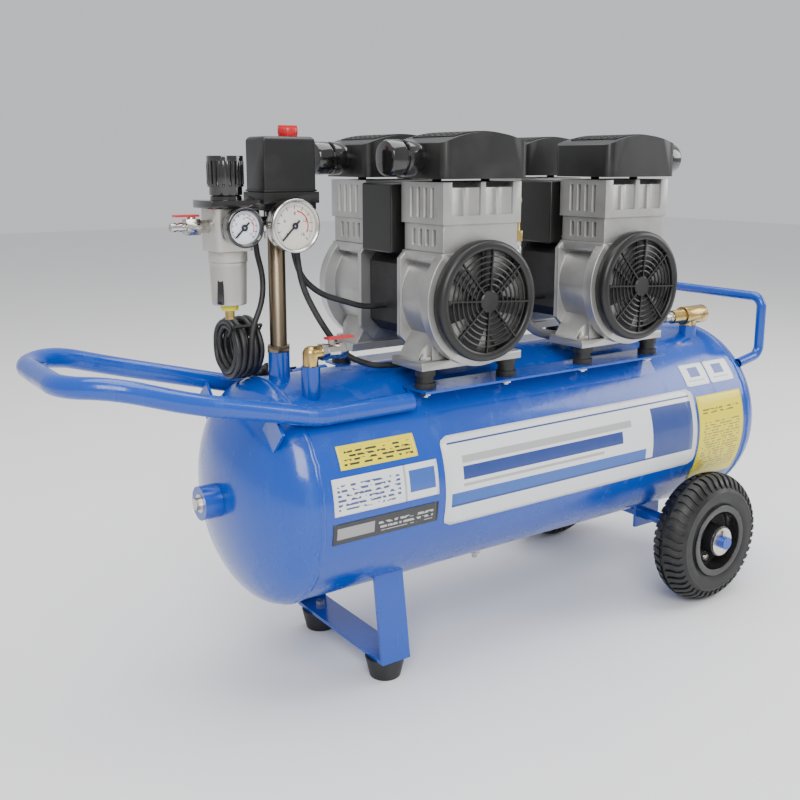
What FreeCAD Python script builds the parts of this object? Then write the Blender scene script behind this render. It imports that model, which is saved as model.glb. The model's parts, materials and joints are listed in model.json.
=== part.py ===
import FreeCAD, Part
import math
import os

# Portable twin-pump air compressor on a horizontal tank. Millimetres, +Z up, +X towards the wheels.
# The origin is on the floor, midway between the two handles and on the tank's centre plane.
# Each pump is a twin: one electric motor with a crankcase and a cylinder on either side of it.

V = FreeCAD.Vector
os.makedirs("parts", exist_ok=True)

# ---- driving dimensions: tank and running gear --------------------------------------------------
HALF_LENGTH = 587.0       # outer end of each handle from the origin
TANK_R = 150.0
TANK_WALL = 3.0
TANK_X0 = -296.0          # weld seam of the left dished end
TANK_X1 = 511.0           # weld seam of the right dished end
DOME_DEPTH = 72.0
END_FLAT_R = 2.0          # pressed flat in the middle of each end
WHEEL_R = 103.5
TYRE_HALF = 32.0          # half the tyre's width
TYRE_WALL = 5.0
RIM_R = 50.0
RIM_WALL = 3.0
HUB_R = 24.0
AXLE_R = 10.0
AXLE_X = 389.0
AXLE_GAP = 0.5            # weld gap between the axle and the tank's underside
RUNNING_FIT = 0.05        # radial clearance of every shaft in its bore
SIDE_GAP = 0.4            # axial clearance beside a turning piece

TANK_Z = WHEEL_R + AXLE_R + AXLE_GAP + TANK_R
WHEEL_Y = TANK_R + 22.0   # wheel's centre plane

# ---- stand under the left end ------------------------------------------------------------------
STAND_X = -168.0
STRAP_W = 45.0
STRAP_T = 5.0
FOOT_H = 30.0
FOOT_TOP_R = 28.0
FOOT_BOTTOM_R = 21.0
FOOT_Y = 88.0
STAND_CORNER_Y = FOOT_Y + 28.0
STAND_TOP_Y = 0.64 * TANK_R

# ---- handles -------------------------------------------------------------------------------------
TUBE_R = 12.5
TUBE_WALL = 2.0
TUBE_ANGLE = 42.3         # degrees round the tank from its top, where the push handle lies on it
TUBE_END_X = -141.0
HANDLE_BEND_X = -281.0
HANDLE_HALF = 126.0
GUSSET_X = -333.0
HANDLE_RISE = 68.0        # how far the handle's outer end stands above its seat on the tank
LOOP_R = 8.0
LOOP_WALL = 1.5
LOOP_HALF = 113.0
LOOP_HEIGHT = 97.0

# ---- pump deck -----------------------------------------------------------------------------------
DECK_X0 = -130.0
DECK_X1 = 327.0
DECK_DROP = 16.0          # deck's top face below the tank's crown
DECK_OUT = 128.0
DECK_T = 3.0
DECK_Z = TANK_Z + TANK_R - DECK_DROP
MOUNT_H = 25.5
MOUNT_R = 14.0
MOUNT_DX = 69.0
MOUNT_Y = 106.0
BOLT_R = 4.0

# ---- pumps ---------------------------------------------------------------------------------------
PUMP_X = (-46.0, 239.0)
BASE_Z = DECK_Z + MOUNT_H
BASE_T = 11.0
BASE_HALF = 84.0
BASE_OUT = 120.0
SHAFT_H = 88.5            # shaft's height above the base
SHAFT_Z = BASE_Z + SHAFT_H
SHAFT_R = 8.0
STATOR_HALF = 57.0
STATOR_Y = 44.0
ROTOR_R = 38.0
AIR_GAP = 0.6
CASE_R = 70.0
CASE_WALL = 8.0
CASE_Y0 = 45.0
CASE_Y1 = 136.0
RING_R = 87.0
CYLINDER_Y = 90.0
BLOCK_HALF = 64.0
BLOCK_Y0 = 44.0
BLOCK_Y1 = 136.0
SADDLE_Z = SHAFT_Z + 63.0
CYLINDER_H = 36.0
HEAD_H = 53.0
CYLINDER_INSET = 3.0      # the cylinder's faces behind the head's
SLOT_PITCH = 15.0
SLOT_W = 7.0
SLOT_DEPTH = 9.0
PILLAR_W = 14.0
RIB_W = 8.0
LOW_RIB_W = 5.0
RECESS_DEPTH = 4.0
NOTCH_H = 7.0
NOTCH_DEPTH = 16.0
BORE_R = 32.0
PISTON_FIT = 0.1
THROW = 8.0
CRANK_R = 11.0
CRANK_T = 14.0
ROD_CLEAR = 1.0
ROD_RING = 5.0
PISTON_H = 15.0
COVER_HALF = 69.5
COVER_Y0 = 34.0
COVER_Y1 = 145.0
COVER_H = 44.0
COVER_CROWN = 14.0
COVER_WALL = 3.0
COVER_GAP = 4.0
SILENCER_R = 23.0
SILENCER_L = 52.0
GUARD_R = 79.0
GUARD_WALL = 3.0
GUARD_LIP_R = 66.0        # inside of the rim's turned-in front
GUARD_HUB_R = 15.0
GUARD_Y1 = 154.0
GUARD_BAR = 4.0
FAN_R = 70.0
BOX_X0 = -75.0            # capacitor box, from the shaft
BOX_X1 = -20.0
BOX_H = 92.0
FAN_Y0 = 141.5
FAN_Y1 = 149.0

HEAD_Z = SADDLE_Z + CYLINDER_H
COVER_Z = HEAD_Z + HEAD_H + COVER_GAP

# ---- controls on the stand pipe ------------------------------------------------------------------
PIPE_X = -273.0
PIPE_R = 11.0
SOCKET_R = 14.0
SOCKET_H = 34.0
MANIFOLD_Z = DECK_Z + 214.0
MANIFOLD_R = 15.0
SWITCH_HALF_X = 36.0
SWITCH_HALF_Y = 25.0
SWITCH_BASE_Z = MANIFOLD_Z + 18.0
SWITCH_BASE_H = 22.0
SWITCH_COVER_H = 68.0
KNOB_X = PIPE_X + 20.0
KNOB_R = 12.0
KNOB_H = 12.0
NIPPLE_R = 8.0
FILTER_X = -340.0
FILTER_HALF = 25.0
FILTER_TOP = MANIFOLD_Z + 22.0
FILTER_BOTTOM = MANIFOLD_Z - 30.0
BOWL_R = 24.0
BOWL_END_R = 21.5
BOWL_H = 67.0
DIAL_KNOB_R = 22.0
DIAL_KNOB_H = 47.0
TANK_GAUGE_R = 33.0
TANK_GAUGE_Y = 56.0       # dial face in front of the centre plane
AIR_GAUGE_R = 24.0
AIR_GAUGE_Y = 48.0
GAUGE_T = 26.0
NEEDLE_T = 0.8
OUTLET_SOCKET_X = -261.0
OUTLET_SOCKET_Y = -62.0
OUTLET_SOCKET_R = 12.0
VALVE_Z = DECK_Z + 55.0
DELIVERY_Y = 100.0
DELIVERY_Z = SADDLE_Z + 8.0
CHECK_X = 467.0
CHECK_Y = -52.0
DRAIN_X = 57.0

# ---- leads ---------------------------------------------------------------------------------------
CORD_D = 7.5
PLUG_HALF_T = 9.5
LEAD_D = 8.0
HOSE_D = 14.0
COIL_X = -311.0
COIL_Y = 42.0
COIL_R = 41.0
COIL_HOLE_R = 25.0
COIL_HALF_T = 20.0
COIL_GAP = 0.8            # between the coil and the tank that it stands on
COIL_Z = TANK_Z + math.sqrt((TANK_R + COIL_R + COIL_GAP) ** 2 - COIL_Y ** 2)


def box(x0, x1, y0, y1, z0, z1):
    """Box between two corners, given in any order along Y."""
    low, high = min(y0, y1), max(y0, y1)
    return Part.makeBox(x1 - x0, high - low, z1 - z0, V(x0, low, z0))


def rod(radius, start, end):
    """Round bar from one point to another."""
    start, end = V(*start), V(*end)
    return Part.makeCylinder(radius, (end - start).Length, start, end - start)


def pipe(outer, inner, start, end):
    """Round tube from one point to another."""
    return rod(outer, start, end).cut(rod(inner, start, end))


def cone(r0, r1, start, end):
    """Tapered round bar from one point to another."""
    start, end = V(*start), V(*end)
    return Part.makeCone(r0, r1, (end - start).Length, start, end - start)


def extrude(points, along):
    """Prism with the given corner points, pushed along a vector."""
    corners = [V(*p) for p in points]
    face = Part.Face(Part.makePolygon(corners + [corners[0]]))
    return face.extrude(V(*along))


def hexagon(across, start, end):
    """Hexagonal bar, with its width across flats, from one point to another."""
    start, end = V(*start), V(*end)
    axis = (end - start).normalize()
    side = axis.cross(V(0, 0, 1))
    if side.Length < 0.5:
        side = V(1, 0, 0)
    side.normalize()
    other = axis.cross(side)
    radius = across / math.sqrt(3.0)
    corners = []
    for step in range(6):
        turn = math.radians(60.0 * step)
        corners.append(start + side * (radius * math.cos(turn)) + other * (radius * math.sin(turn)))
    length = (end - start)
    return Part.Face(Part.makePolygon(corners + [corners[0]])).extrude(length)


def bent_wire(points, radius_at):
    """Straight runs joined by tangent arcs. radius_at gives each corner's radius."""
    points = [V(*p) for p in points]
    edges = []
    last = points[0]
    for index in range(1, len(points) - 1):
        corner = points[index]
        run_in = (corner - points[index - 1]).normalize()
        run_out = (points[index + 1] - corner).normalize()
        turn = run_in.getAngle(run_out)
        radius = radius_at(points, index, turn)
        reach = radius * math.tan(turn / 2.0)
        start = corner - run_in * reach
        end = corner + run_out * reach
        inward = (run_out - run_in).normalize()
        middle = corner + inward * (radius / math.cos(turn / 2.0) - radius)
        if (start - last).Length > 0.01:
            edges.append(Part.LineSegment(last, start).toShape())
        edges.append(Part.Arc(start, middle, end).toShape())
        last = end
    edges.append(Part.LineSegment(last, points[-1]).toShape())
    return Part.Wire(edges)


def sweep(wire, points, radius):
    """Round bar of the given radius along a wire that starts along the first two points."""
    start, then = V(*points[0]), V(*points[1])
    ring = Part.Wire([Part.makeCircle(radius, start, then - start)])
    return wire.makePipeShell([ring], True, False)


def bent_tube(points, bend, outer, wall):
    """Steel tube bent to one radius at each corner."""
    wire = bent_wire(points, lambda _points, _index, _turn: bend)
    return sweep(wire, points, outer).cut(sweep(wire, points, outer - wall))


def cord(points, diameter, name):
    """Flexible lead: each corner is as round as its two runs allow."""
    radii = []

    def widest(places, index, turn):
        run = min((places[index] - places[index - 1]).Length, (places[index + 1] - places[index]).Length)
        radii.append(0.45 * run / math.tan(turn / 2.0))
        return radii[-1]

    wire = bent_wire(points, widest)
    solid = sweep(wire, points, diameter / 2.0)
    ideal = math.pi * diameter * diameter / 4.0 * wire.Length
    print(name, "length", round(wire.Length), "least radius", round(min(radii), 1),
          "volume ratio", round(solid.Volume / ideal, 4))
    return solid


def strap(points, thickness, width_from, width_to):
    """Flat bar bent along points in the Y-Z plane, its thickness on the left of the run."""
    def offset(index):
        here = V(0, *points[index])
        normals = []
        if index > 0:
            run = (here - V(0, *points[index - 1])).normalize()
            normals.append(V(0, -run.z, run.y))
        if index < len(points) - 1:
            run = (V(0, *points[index + 1]) - here).normalize()
            normals.append(V(0, -run.z, run.y))
        if len(normals) == 1:
            return here + normals[0] * thickness
        mean = (normals[0] + normals[1]).normalize()
        return here + mean * (thickness / mean.dot(normals[0]))
    outer = [(width_from, p[0], p[1]) for p in points]
    inner = [(width_from, offset(i).y, offset(i).z) for i in reversed(range(len(points)))]
    return extrude(outer + inner, (width_to - width_from, 0, 0))


def join(shapes):
    """One solid from touching or overlapping shapes."""
    return shapes[0].multiFuse(shapes[1:]).removeSplitter()


def export(name, *solids):
    """Writes one node, with its solids kept apart."""
    shape = solids[0] if len(solids) == 1 else Part.makeCompound(list(solids))
    for solid in shape.Solids:
        if not solid.isValid():
            print("not valid:", name)
    shape.exportStep("parts/" + name + ".step")


# ---- tank ----------------------------------------------------------------------------------------
def end_curve(radius, depth):
    """Quarter of an ellipse from the left end's rim to a small flat at its middle, and where it stops."""
    centre = V(TANK_X0, 0, TANK_Z)
    ellipse = Part.Ellipse(centre + V(0, 0, radius), centre - V(depth, 0, 0), centre)
    stop = math.acos(END_FLAT_R / radius)
    return Part.ArcOfEllipse(ellipse, 0, stop).toShape(), centre + V(-depth * math.sin(stop), 0, END_FLAT_R)


def spun(edges):
    """Closed outline turned about the tank's axis."""
    face = Part.Face(Part.Wire(Part.sortEdges(edges)[0]))
    return face.revolve(V(0, 0, TANK_Z), V(1, 0, 0), 360)


def left_dome():
    """The whole space that the left dished end takes up."""
    curve, tip = end_curve(TANK_R, DOME_DEPTH)
    corners = [tip, V(tip.x, 0, TANK_Z), V(TANK_X0, 0, TANK_Z), V(TANK_X0, 0, TANK_Z + TANK_R)]
    return spun([curve] + [Part.makeLine(a, b) for a, b in zip(corners, corners[1:])])


def left_end():
    inner_r = TANK_R - TANK_WALL
    outside, tip = end_curve(TANK_R, DOME_DEPTH)
    inside, inner_tip = end_curve(inner_r, DOME_DEPTH - TANK_WALL)
    corners = [tip, V(tip.x, 0, TANK_Z), V(inner_tip.x, 0, TANK_Z), inner_tip]
    rim = Part.makeLine(V(TANK_X0, 0, TANK_Z + inner_r), V(TANK_X0, 0, TANK_Z + TANK_R))
    return spun([outside, inside, rim] + [Part.makeLine(a, b) for a, b in zip(corners, corners[1:])])


def turned_about(shape):
    """The same piece at the tank's other end."""
    shape.rotate(V(0.5 * (TANK_X0 + TANK_X1), 0, 0), V(0, 0, 1), 180)
    return shape


TANK_BODY = rod(TANK_R, (TANK_X0, 0, TANK_Z), (TANK_X1, 0, TANK_Z))
BOSS_FACE_X = TANK_X0 - DOME_DEPTH - 23.0
BOSS_R = 22.0
PLUG_R = 12.0
SOCKET_TOP = TANK_Z + TANK_R + SOCKET_H
OUTLET_TOP = TANK_Z + TANK_R + 23.0
CHECK_SOCKET_TOP = TANK_Z + TANK_R + 6.0
DRAIN_BOTTOM = TANK_Z - TANK_R - 9.0
TAPPED_R = 6.5


def make_tank():
    inner = rod(TANK_R - TANK_WALL, (TANK_X0, 0, TANK_Z), (TANK_X1, 0, TANK_Z))
    barrel = TANK_BODY.cut(inner)
    ports = ((PIPE_X, 0, 1), (OUTLET_SOCKET_X, OUTLET_SOCKET_Y, 1), (CHECK_X, CHECK_Y, 1), (DRAIN_X, 0, -1))
    for x, y, up in ports:
        barrel = barrel.cut(rod(TAPPED_R, (x, y, TANK_Z), (x, y, TANK_Z + up * 2 * TANK_R)))
    export("tank_barrel", barrel)
    export("tank_end_left", left_end().cut(rod(PLUG_R, (BOSS_FACE_X, 0, TANK_Z), (TANK_X0, 0, TANK_Z))))
    export("tank_end_right", turned_about(left_end()))
    sockets = []
    for x, y, radius, top in (
            (PIPE_X, 0, SOCKET_R, SOCKET_TOP),
            (OUTLET_SOCKET_X, OUTLET_SOCKET_Y, OUTLET_SOCKET_R, OUTLET_TOP),
            (CHECK_X, CHECK_Y, SOCKET_R, CHECK_SOCKET_TOP)):
        socket = pipe(radius, TAPPED_R, (x, y, TANK_Z + 0.5 * TANK_R), (x, y, top))
        sockets.append(socket.cut(TANK_BODY))
    drain = pipe(SOCKET_R, TAPPED_R, (DRAIN_X, 0, DRAIN_BOTTOM), (DRAIN_X, 0, TANK_Z - 0.5 * TANK_R))
    sockets.append(drain.cut(TANK_BODY))
    boss = pipe(BOSS_R, PLUG_R, (BOSS_FACE_X, 0, TANK_Z), (TANK_X0 - 0.5 * DOME_DEPTH, 0, TANK_Z))
    sockets.append(boss.cut(left_dome()))
    export("tank_sockets", *sockets)


# ---- stand ---------------------------------------------------------------------------------------
def make_stand():
    top_z = TANK_Z - math.sqrt(TANK_R ** 2 - STAND_TOP_Y ** 2) + 12.0
    run = [(STAND_TOP_Y, top_z), (STAND_CORNER_Y, FOOT_H), (-STAND_CORNER_Y, FOOT_H), (-STAND_TOP_Y, top_z)]
    half = STRAP_W / 2.0
    # the run goes down, across and up, so that the thickness lies inside the U
    bar = strap(list(reversed(run)), STRAP_T, STAND_X - half, STAND_X + half).cut(TANK_BODY)
    feet, bolts = [], []
    for side in (-1, 1):
        y = side * FOOT_Y
        bar = bar.cut(rod(BOLT_R, (STAND_X, y, 0), (STAND_X, y, FOOT_H + 2 * STRAP_T)))
        foot = cone(FOOT_BOTTOM_R, FOOT_TOP_R, (STAND_X, y, 0), (STAND_X, y, FOOT_H))
        foot = foot.cut(rod(BOLT_R, (STAND_X, y, 8), (STAND_X, y, FOOT_H)))
        foot = foot.cut(rod(2 * BOLT_R, (STAND_X, y, 0), (STAND_X, y, 8)))
        feet.append(foot)
        top = FOOT_H + STRAP_T
        bolt = join([rod(BOLT_R, (STAND_X, y, 8), (STAND_X, y, top)),
                     hexagon(13, (STAND_X, y, top), (STAND_X, y, top + 5.5))])
        bolts.append(bolt)
    export("front_stand", bar)
    export("stand_feet", *feet)
    return bolts


# ---- handles -------------------------------------------------------------------------------------
def push_handle_points():
    seat_r = TANK_R + TUBE_R + 0.2
    seat_y = seat_r * math.sin(math.radians(TUBE_ANGLE))
    seat_z = TANK_Z + seat_r * math.cos(math.radians(TUBE_ANGLE))
    end_x = -HALF_LENGTH + TUBE_R
    tip_z = seat_z + HANDLE_RISE
    side = []
    side.append((TUBE_END_X, seat_y, seat_z))
    side.append((HANDLE_BEND_X, seat_y, seat_z))
    side.append((end_x + 126.0, HANDLE_HALF, tip_z - 25.0))
    side.append((end_x + 46.0, HANDLE_HALF - 14.0, tip_z))
    side.append((end_x + 1.0, HANDLE_HALF - 50.0, tip_z))
    side.append((end_x, HANDLE_HALF - 79.0, tip_z))
    return side


def make_handles():
    side = push_handle_points()
    points = [(x, -y, z) for x, y, z in side] + list(reversed(side))
    radii = [120.0, 200.0, 100.0, 60.0, 45.0]
    radii += list(reversed(radii))
    wire = bent_wire(points, lambda _points, index, _turn: radii[index - 1])
    tube = sweep(wire, points, TUBE_R)
    parts = [tube.cut(sweep(wire, points, TUBE_R - TUBE_WALL))]
    for sign in (-1, 1):
        # a plate on the tank's left end props each arm of the handle
        plate = box(GUSSET_X - 2, GUSSET_X + 2, -18, 18, TANK_Z + 0.7 * TANK_R, TANK_Z + TANK_R + TUBE_R)
        plate.rotate(V(0, 0, TANK_Z), V(1, 0, 0), -sign * TUBE_ANGLE)
        parts.append(plate.cut(left_dome()).cut(tube))
    export("push_handle", join(parts))
    loop_x = HALF_LENGTH - LOOP_R
    foot_z = TANK_Z + 0.655 * TANK_R
    points = []
    for sign in (-1, 1):
        leg = [(TANK_X1 + 0.2 * DOME_DEPTH, sign * LOOP_HALF, foot_z - 4.0),
               (loop_x, sign * LOOP_HALF, foot_z + 6.0),
               (loop_x, sign * LOOP_HALF, foot_z + 6.0 + LOOP_HEIGHT)]
        points += leg if sign < 0 else list(reversed(leg))
    loop = bent_tube(points, 18.0, LOOP_R, LOOP_WALL)
    export("rear_handle", loop.cut(turned_about(left_dome())).cut(TANK_BODY))


# ---- axle and wheels -----------------------------------------------------------------------------
HUB_OUT = TYRE_HALF
HUB_IN = TYRE_HALF - 2.0


def wheel_ring(outer, inner, y0, y1):
    return pipe(outer, inner, (AXLE_X, y0, WHEEL_R), (AXLE_X, y1, WHEEL_R))


def make_wheel(name, side):
    y = side * WHEEL_Y
    major = WHEEL_R - TYRE_HALF
    centre, axis = V(AXLE_X, y, WHEEL_R), V(0, 1, 0)
    tyre = Part.makeTorus(major, TYRE_HALF, centre, axis)
    tyre = tyre.cut(Part.makeTorus(major, TYRE_HALF - TYRE_WALL, centre, axis))
    tyre = tyre.cut(rod(RIM_R, (AXLE_X, y - WHEEL_R, WHEEL_R), (AXLE_X, y + WHEEL_R, WHEEL_R)))
    flange_y = TYRE_HALF - 5.0
    flange_r = RIM_R + 7.0
    for sign in (-1, 1):
        face = y + sign * flange_y
        tyre = tyre.cut(rod(flange_r, (AXLE_X, face, WHEEL_R), (AXLE_X, face + sign * TYRE_HALF, WHEEL_R)))
    export(name + "_tyre", tyre)
    bead_in = RIM_R - RIM_WALL
    rim = [wheel_ring(RIM_R, bead_in, y - flange_y - RIM_WALL, y + flange_y + RIM_WALL)]
    for sign in (-1, 1):
        face = y + sign * flange_y
        rim.append(wheel_ring(flange_r, bead_in, face, face + sign * RIM_WALL))
    rim.append(wheel_ring(bead_in + 0.5, HUB_R - 0.5, y - RIM_WALL, y + RIM_WALL))
    hub_in = y - side * HUB_IN
    hub_out = y + side * HUB_OUT
    rim.append(wheel_ring(HUB_R, AXLE_R + RUNNING_FIT, hub_in, hub_out))
    export(name + "_rim", join(rim))


def make_axle():
    end = WHEEL_Y + HUB_OUT + 12.0
    export("axle", rod(AXLE_R, (AXLE_X, -end, WHEEL_R), (AXLE_X, end, WHEEL_R)))
    brackets, fasteners = [], []
    for side in (-1, 1):
        y = side * 0.33 * TANK_R
        plate = box(AXLE_X - 28, AXLE_X + 28, y - 2.5, y + 2.5, WHEEL_R - AXLE_R - 8, TANK_Z - 0.5 * TANK_R)
        plate = plate.cut(TANK_BODY)
        brackets.append(plate.cut(rod(AXLE_R, (AXLE_X, y - 9, WHEEL_R), (AXLE_X, y + 9, WHEEL_R))))
        inner = WHEEL_Y - HUB_IN - SIDE_GAP
        outer = WHEEL_Y + HUB_OUT + SIDE_GAP
        fasteners.append(wheel_ring(AXLE_R + 6, AXLE_R, side * inner, side * (inner - 4)))
        fasteners.append(wheel_ring(HUB_R - 2, AXLE_R, side * outer, side * (outer + 2)))
        fasteners.append(rod(2.0, (AXLE_X, side * (outer + 4.2), WHEEL_R + AXLE_R),
                             (AXLE_X, side * (outer + 4.2), WHEEL_R + AXLE_R + 8)))
    export("axle_brackets", *brackets)
    return fasteners


# ---- deck and rubber mounts ----------------------------------------------------------------------
def mount_places():
    return [(x + sign * MOUNT_DX, side * MOUNT_Y) for x in PUMP_X for sign in (-1, 1) for side in (-1, 1)]


def make_deck():
    under = DECK_Z - DECK_T
    inner = math.sqrt(TANK_R ** 2 - (under - TANK_Z) ** 2) + 2.0
    rails, mounts, bolts = [], [], []
    for side in (-1, 1):
        top = box(DECK_X0, DECK_X1, side * inner, side * DECK_OUT, under, DECK_Z)
        top_y, low_y, low_z = MOUNT_Y - 19, MOUNT_Y + 16, under - 44
        web = [(DECK_X0, side * (top_y - DECK_T), under), (DECK_X0, side * top_y, under),
               (DECK_X0, side * low_y, low_z), (DECK_X0, side * (low_y - DECK_T), low_z)]
        web = extrude(web, (DECK_X1 - DECK_X0, 0, 0)).cut(TANK_BODY)
        pieces = [solid for solid in web.Solids if solid.BoundBox.ZMax > under - 1]
        rails.append(join([top] + pieces))
    for x, y in mount_places():
        rails = [rail.cut(rod(BOLT_R, (x, y, under - 1), (x, y, DECK_Z + 1))) for rail in rails]
        waist = [rod(MOUNT_R, (x, y, DECK_Z), (x, y, DECK_Z + 8)),
                 rod(MOUNT_R - 2.5, (x, y, DECK_Z + 8), (x, y, BASE_Z - 8)),
                 rod(MOUNT_R, (x, y, BASE_Z - 8), (x, y, BASE_Z))]
        mounts.append(join(waist).cut(rod(BOLT_R, (x, y, DECK_Z), (x, y, BASE_Z))))
        bolts.append(join([rod(BOLT_R, (x, y, under - 9), (x, y, BASE_Z + BASE_T)),
                           hexagon(13, (x, y, under - 6.5), (x, y, under)),
                           hexagon(13, (x, y, BASE_Z + BASE_T), (x, y, BASE_Z + BASE_T + 5.3))]))
    export("pump_deck", *rails)
    export("rubber_mounts", *mounts)
    return bolts


# ---- pumps ---------------------------------------------------------------------------------------
def on_y(radius, x, z, y0, y1):
    return rod(radius, (x, y0, z), (x, y1, z))


def make_stator(name, x):
    half, chamfer = STATOR_HALF, 16.0
    corners = [(-half, -half + chamfer), (-half + chamfer, -half), (half - chamfer, -half),
               (half, -half + chamfer), (half, half - chamfer), (half - chamfer, half),
               (-half + chamfer, half), (-half, half - chamfer)]
    stack = extrude([(x + a, -STATOR_Y, SHAFT_Z + b) for a, b in corners], (0, 2 * STATOR_Y, 0))
    export(name + "_stator", stack.cut(on_y(ROTOR_R + AIR_GAP, x, SHAFT_Z, -STATOR_Y, STATOR_Y)))


def make_crankcase(x, side):
    near, far = side * CASE_Y0, side * CASE_Y1
    parts = [on_y(CASE_R, x, SHAFT_Z, near, far),
             on_y(RING_R, x, SHAFT_Z, side * (CASE_Y1 - 16), far),
             box(x - BASE_HALF, x + BASE_HALF, side * (CASE_Y0 + 5), side * BASE_OUT, BASE_Z, BASE_Z + BASE_T)]
    flange = [(-72, -52), (-52, -72), (52, -72), (72, -52), (72, 52), (52, 72), (-52, 72), (-72, 52)]
    parts.append(extrude([(x + a, near, SHAFT_Z + b) for a, b in flange], (0, side * 8, 0)))
    legs = [(-BASE_HALF + 8, BASE_Z + BASE_T - 1), (BASE_HALF - 8, BASE_Z + BASE_T - 1),
            (50, SHAFT_Z - 40), (-50, SHAFT_Z - 40)]
    parts.append(extrude([(x + a, side * (CASE_Y0 + 8), b) for a, b in legs],
                         (0, side * (BASE_OUT - CASE_Y0 - 16), 0)))
    parts.append(box(x - BLOCK_HALF, x + BLOCK_HALF, side * (BLOCK_Y0 + 2), side * (BLOCK_Y1 - 2),
                     SADDLE_Z - 12, SADDLE_Z))
    parts.append(box(x - 52, x + 52, side * (BLOCK_Y0 + 4), side * (BLOCK_Y1 - 8), SHAFT_Z, SADDLE_Z - 10))
    block = box(x - RING_R, x + RING_R, side * (BLOCK_Y0 - 2), side * (BLOCK_Y1 + 2), SADDLE_Z, SHAFT_Z + RING_R + 1)
    case = join(parts).cut(block)
    case = case.cut(on_y(CASE_R - CASE_WALL, x, SHAFT_Z, side * (CASE_Y0 + 10), side * (CASE_Y1 - 6)))
    case = case.cut(on_y(SHAFT_R + RUNNING_FIT, x, SHAFT_Z, side * (CASE_Y0 - 5), side * (CASE_Y1 + 5)))
    case = case.cut(rod(BORE_R + 1, (x, side * CYLINDER_Y, SHAFT_Z), (x, side * CYLINDER_Y, SADDLE_Z + 1)))
    for dx in (-MOUNT_DX, MOUNT_DX):
        case = case.cut(rod(BOLT_R, (x + dx, side * MOUNT_Y, BASE_Z - 1),
                            (x + dx, side * MOUNT_Y, BASE_Z + BASE_T)))
        case = case.cut(rod(BOLT_R + 5, (x + dx, side * MOUNT_Y, BASE_Z + BASE_T),
                            (x + dx, side * MOUNT_Y, BASE_Z + 50)))
    return case


def slotted_block(x, side, z0, z1, inset):
    """Cast block with four upright cooling slots in each of its ends."""
    half = BLOCK_HALF - inset
    block = box(x - half, x + half, side * (BLOCK_Y0 + inset), side * (BLOCK_Y1 - inset), z0, z1)
    slots = []
    for step in range(4):
        at = side * (CYLINDER_Y + (step - 1.5) * SLOT_PITCH)
        for sign in (-1, 1):
            low, high = sorted((x + sign * half, x + sign * (half - SLOT_DEPTH)))
            slots.append(box(low, high, at - SLOT_W / 2, at + SLOT_W / 2, z0 + 8, z1 - 7))
    return block.cut(Part.makeCompound(slots))


def make_cylinder(x, side):
    block = slotted_block(x, side, SADDLE_Z, HEAD_Z, CYLINDER_INSET)
    place = side * CYLINDER_Y
    return block.cut(rod(BORE_R + PISTON_FIT, (x, place, SADDLE_Z), (x, place, HEAD_Z)))


def make_head(x, side):
    top = HEAD_Z + HEAD_H
    block = slotted_block(x, side, HEAD_Z, top, 0.0)
    face = side * BLOCK_Y1
    # four recesses leave a pillar at each corner, a rib in the middle and a lower rib on either side
    half = BLOCK_HALF - PILLAR_W
    cell = (half - 0.5 * RIB_W) / 2
    for sign in (-1, 1):
        for start in (0.5 * RIB_W, 0.5 * RIB_W + cell + 0.5 * LOW_RIB_W):
            low, high = sorted((x + sign * start, x + sign * (start + cell - 0.5 * LOW_RIB_W)))
            block = block.cut(box(low, high, face - side * RECESS_DEPTH, face, HEAD_Z + 11, top))
        low, high = sorted((x + sign * 0.5 * RIB_W, x + sign * half))
        block = block.cut(box(low, high, face - side * NOTCH_DEPTH, face, top - NOTCH_H, top))
    place = side * CYLINDER_Y
    return block.cut(rod(BORE_R - 4, (x, place, HEAD_Z + 6), (x, place, top - 12)))


def cover_block(x, side, inset):
    """Domed box: upright sides and a crowned top."""
    half, y0, y1 = COVER_HALF - inset, COVER_Y0 + inset, COVER_Y1 - inset
    top = COVER_Z + COVER_H - inset
    low = COVER_Z if inset == 0 else COVER_Z - 1
    a, b = V(x - half, side * y0, low), V(x + half, side * y0, low)
    c, d = V(x + half, side * y0, top), V(x - half, side * y0, top)
    crown = V(x, side * y0, top + COVER_CROWN)
    edges = [Part.makeLine(a, b), Part.makeLine(b, c), Part.Arc(c, crown, d).toShape(), Part.makeLine(d, a)]
    solid = Part.Face(Part.Wire(edges)).extrude(V(0, side * (y1 - y0), 0))
    upright = [edge for edge in solid.Edges
               if edge.BoundBox.ZLength > 20 and edge.BoundBox.XLength < 1 and edge.BoundBox.YLength < 1]
    return solid.makeFillet(12.0 - inset, upright)


def make_cover(x, side):
    shell = cover_block(x, side, 0).cut(cover_block(x, side, COVER_WALL))
    rest = HEAD_Z + HEAD_H
    # two posts from the cover's crown stand on the head
    crown = COVER_Z + COVER_H + 0.6 * COVER_CROWN
    posts = [rod(6, (x + dx, side * CYLINDER_Y, rest), (x + dx, side * CYLINDER_Y, crown)) for dx in (-40, 40)]
    return join([shell] + posts)


def make_silencer(x, side, out):
    face = x + out * (COVER_HALF + 0.2)
    y, z = side * CYLINDER_Y, COVER_Z + 0.58 * COVER_H
    steps = ((0, 8, SILENCER_R - 5), (8, 26, SILENCER_R), (26, 30, SILENCER_R - 4), (30, SILENCER_L, SILENCER_R))
    return join([rod(radius, (face + out * a, y, z), (face + out * b, y, z)) for a, b, radius in steps])


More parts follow.
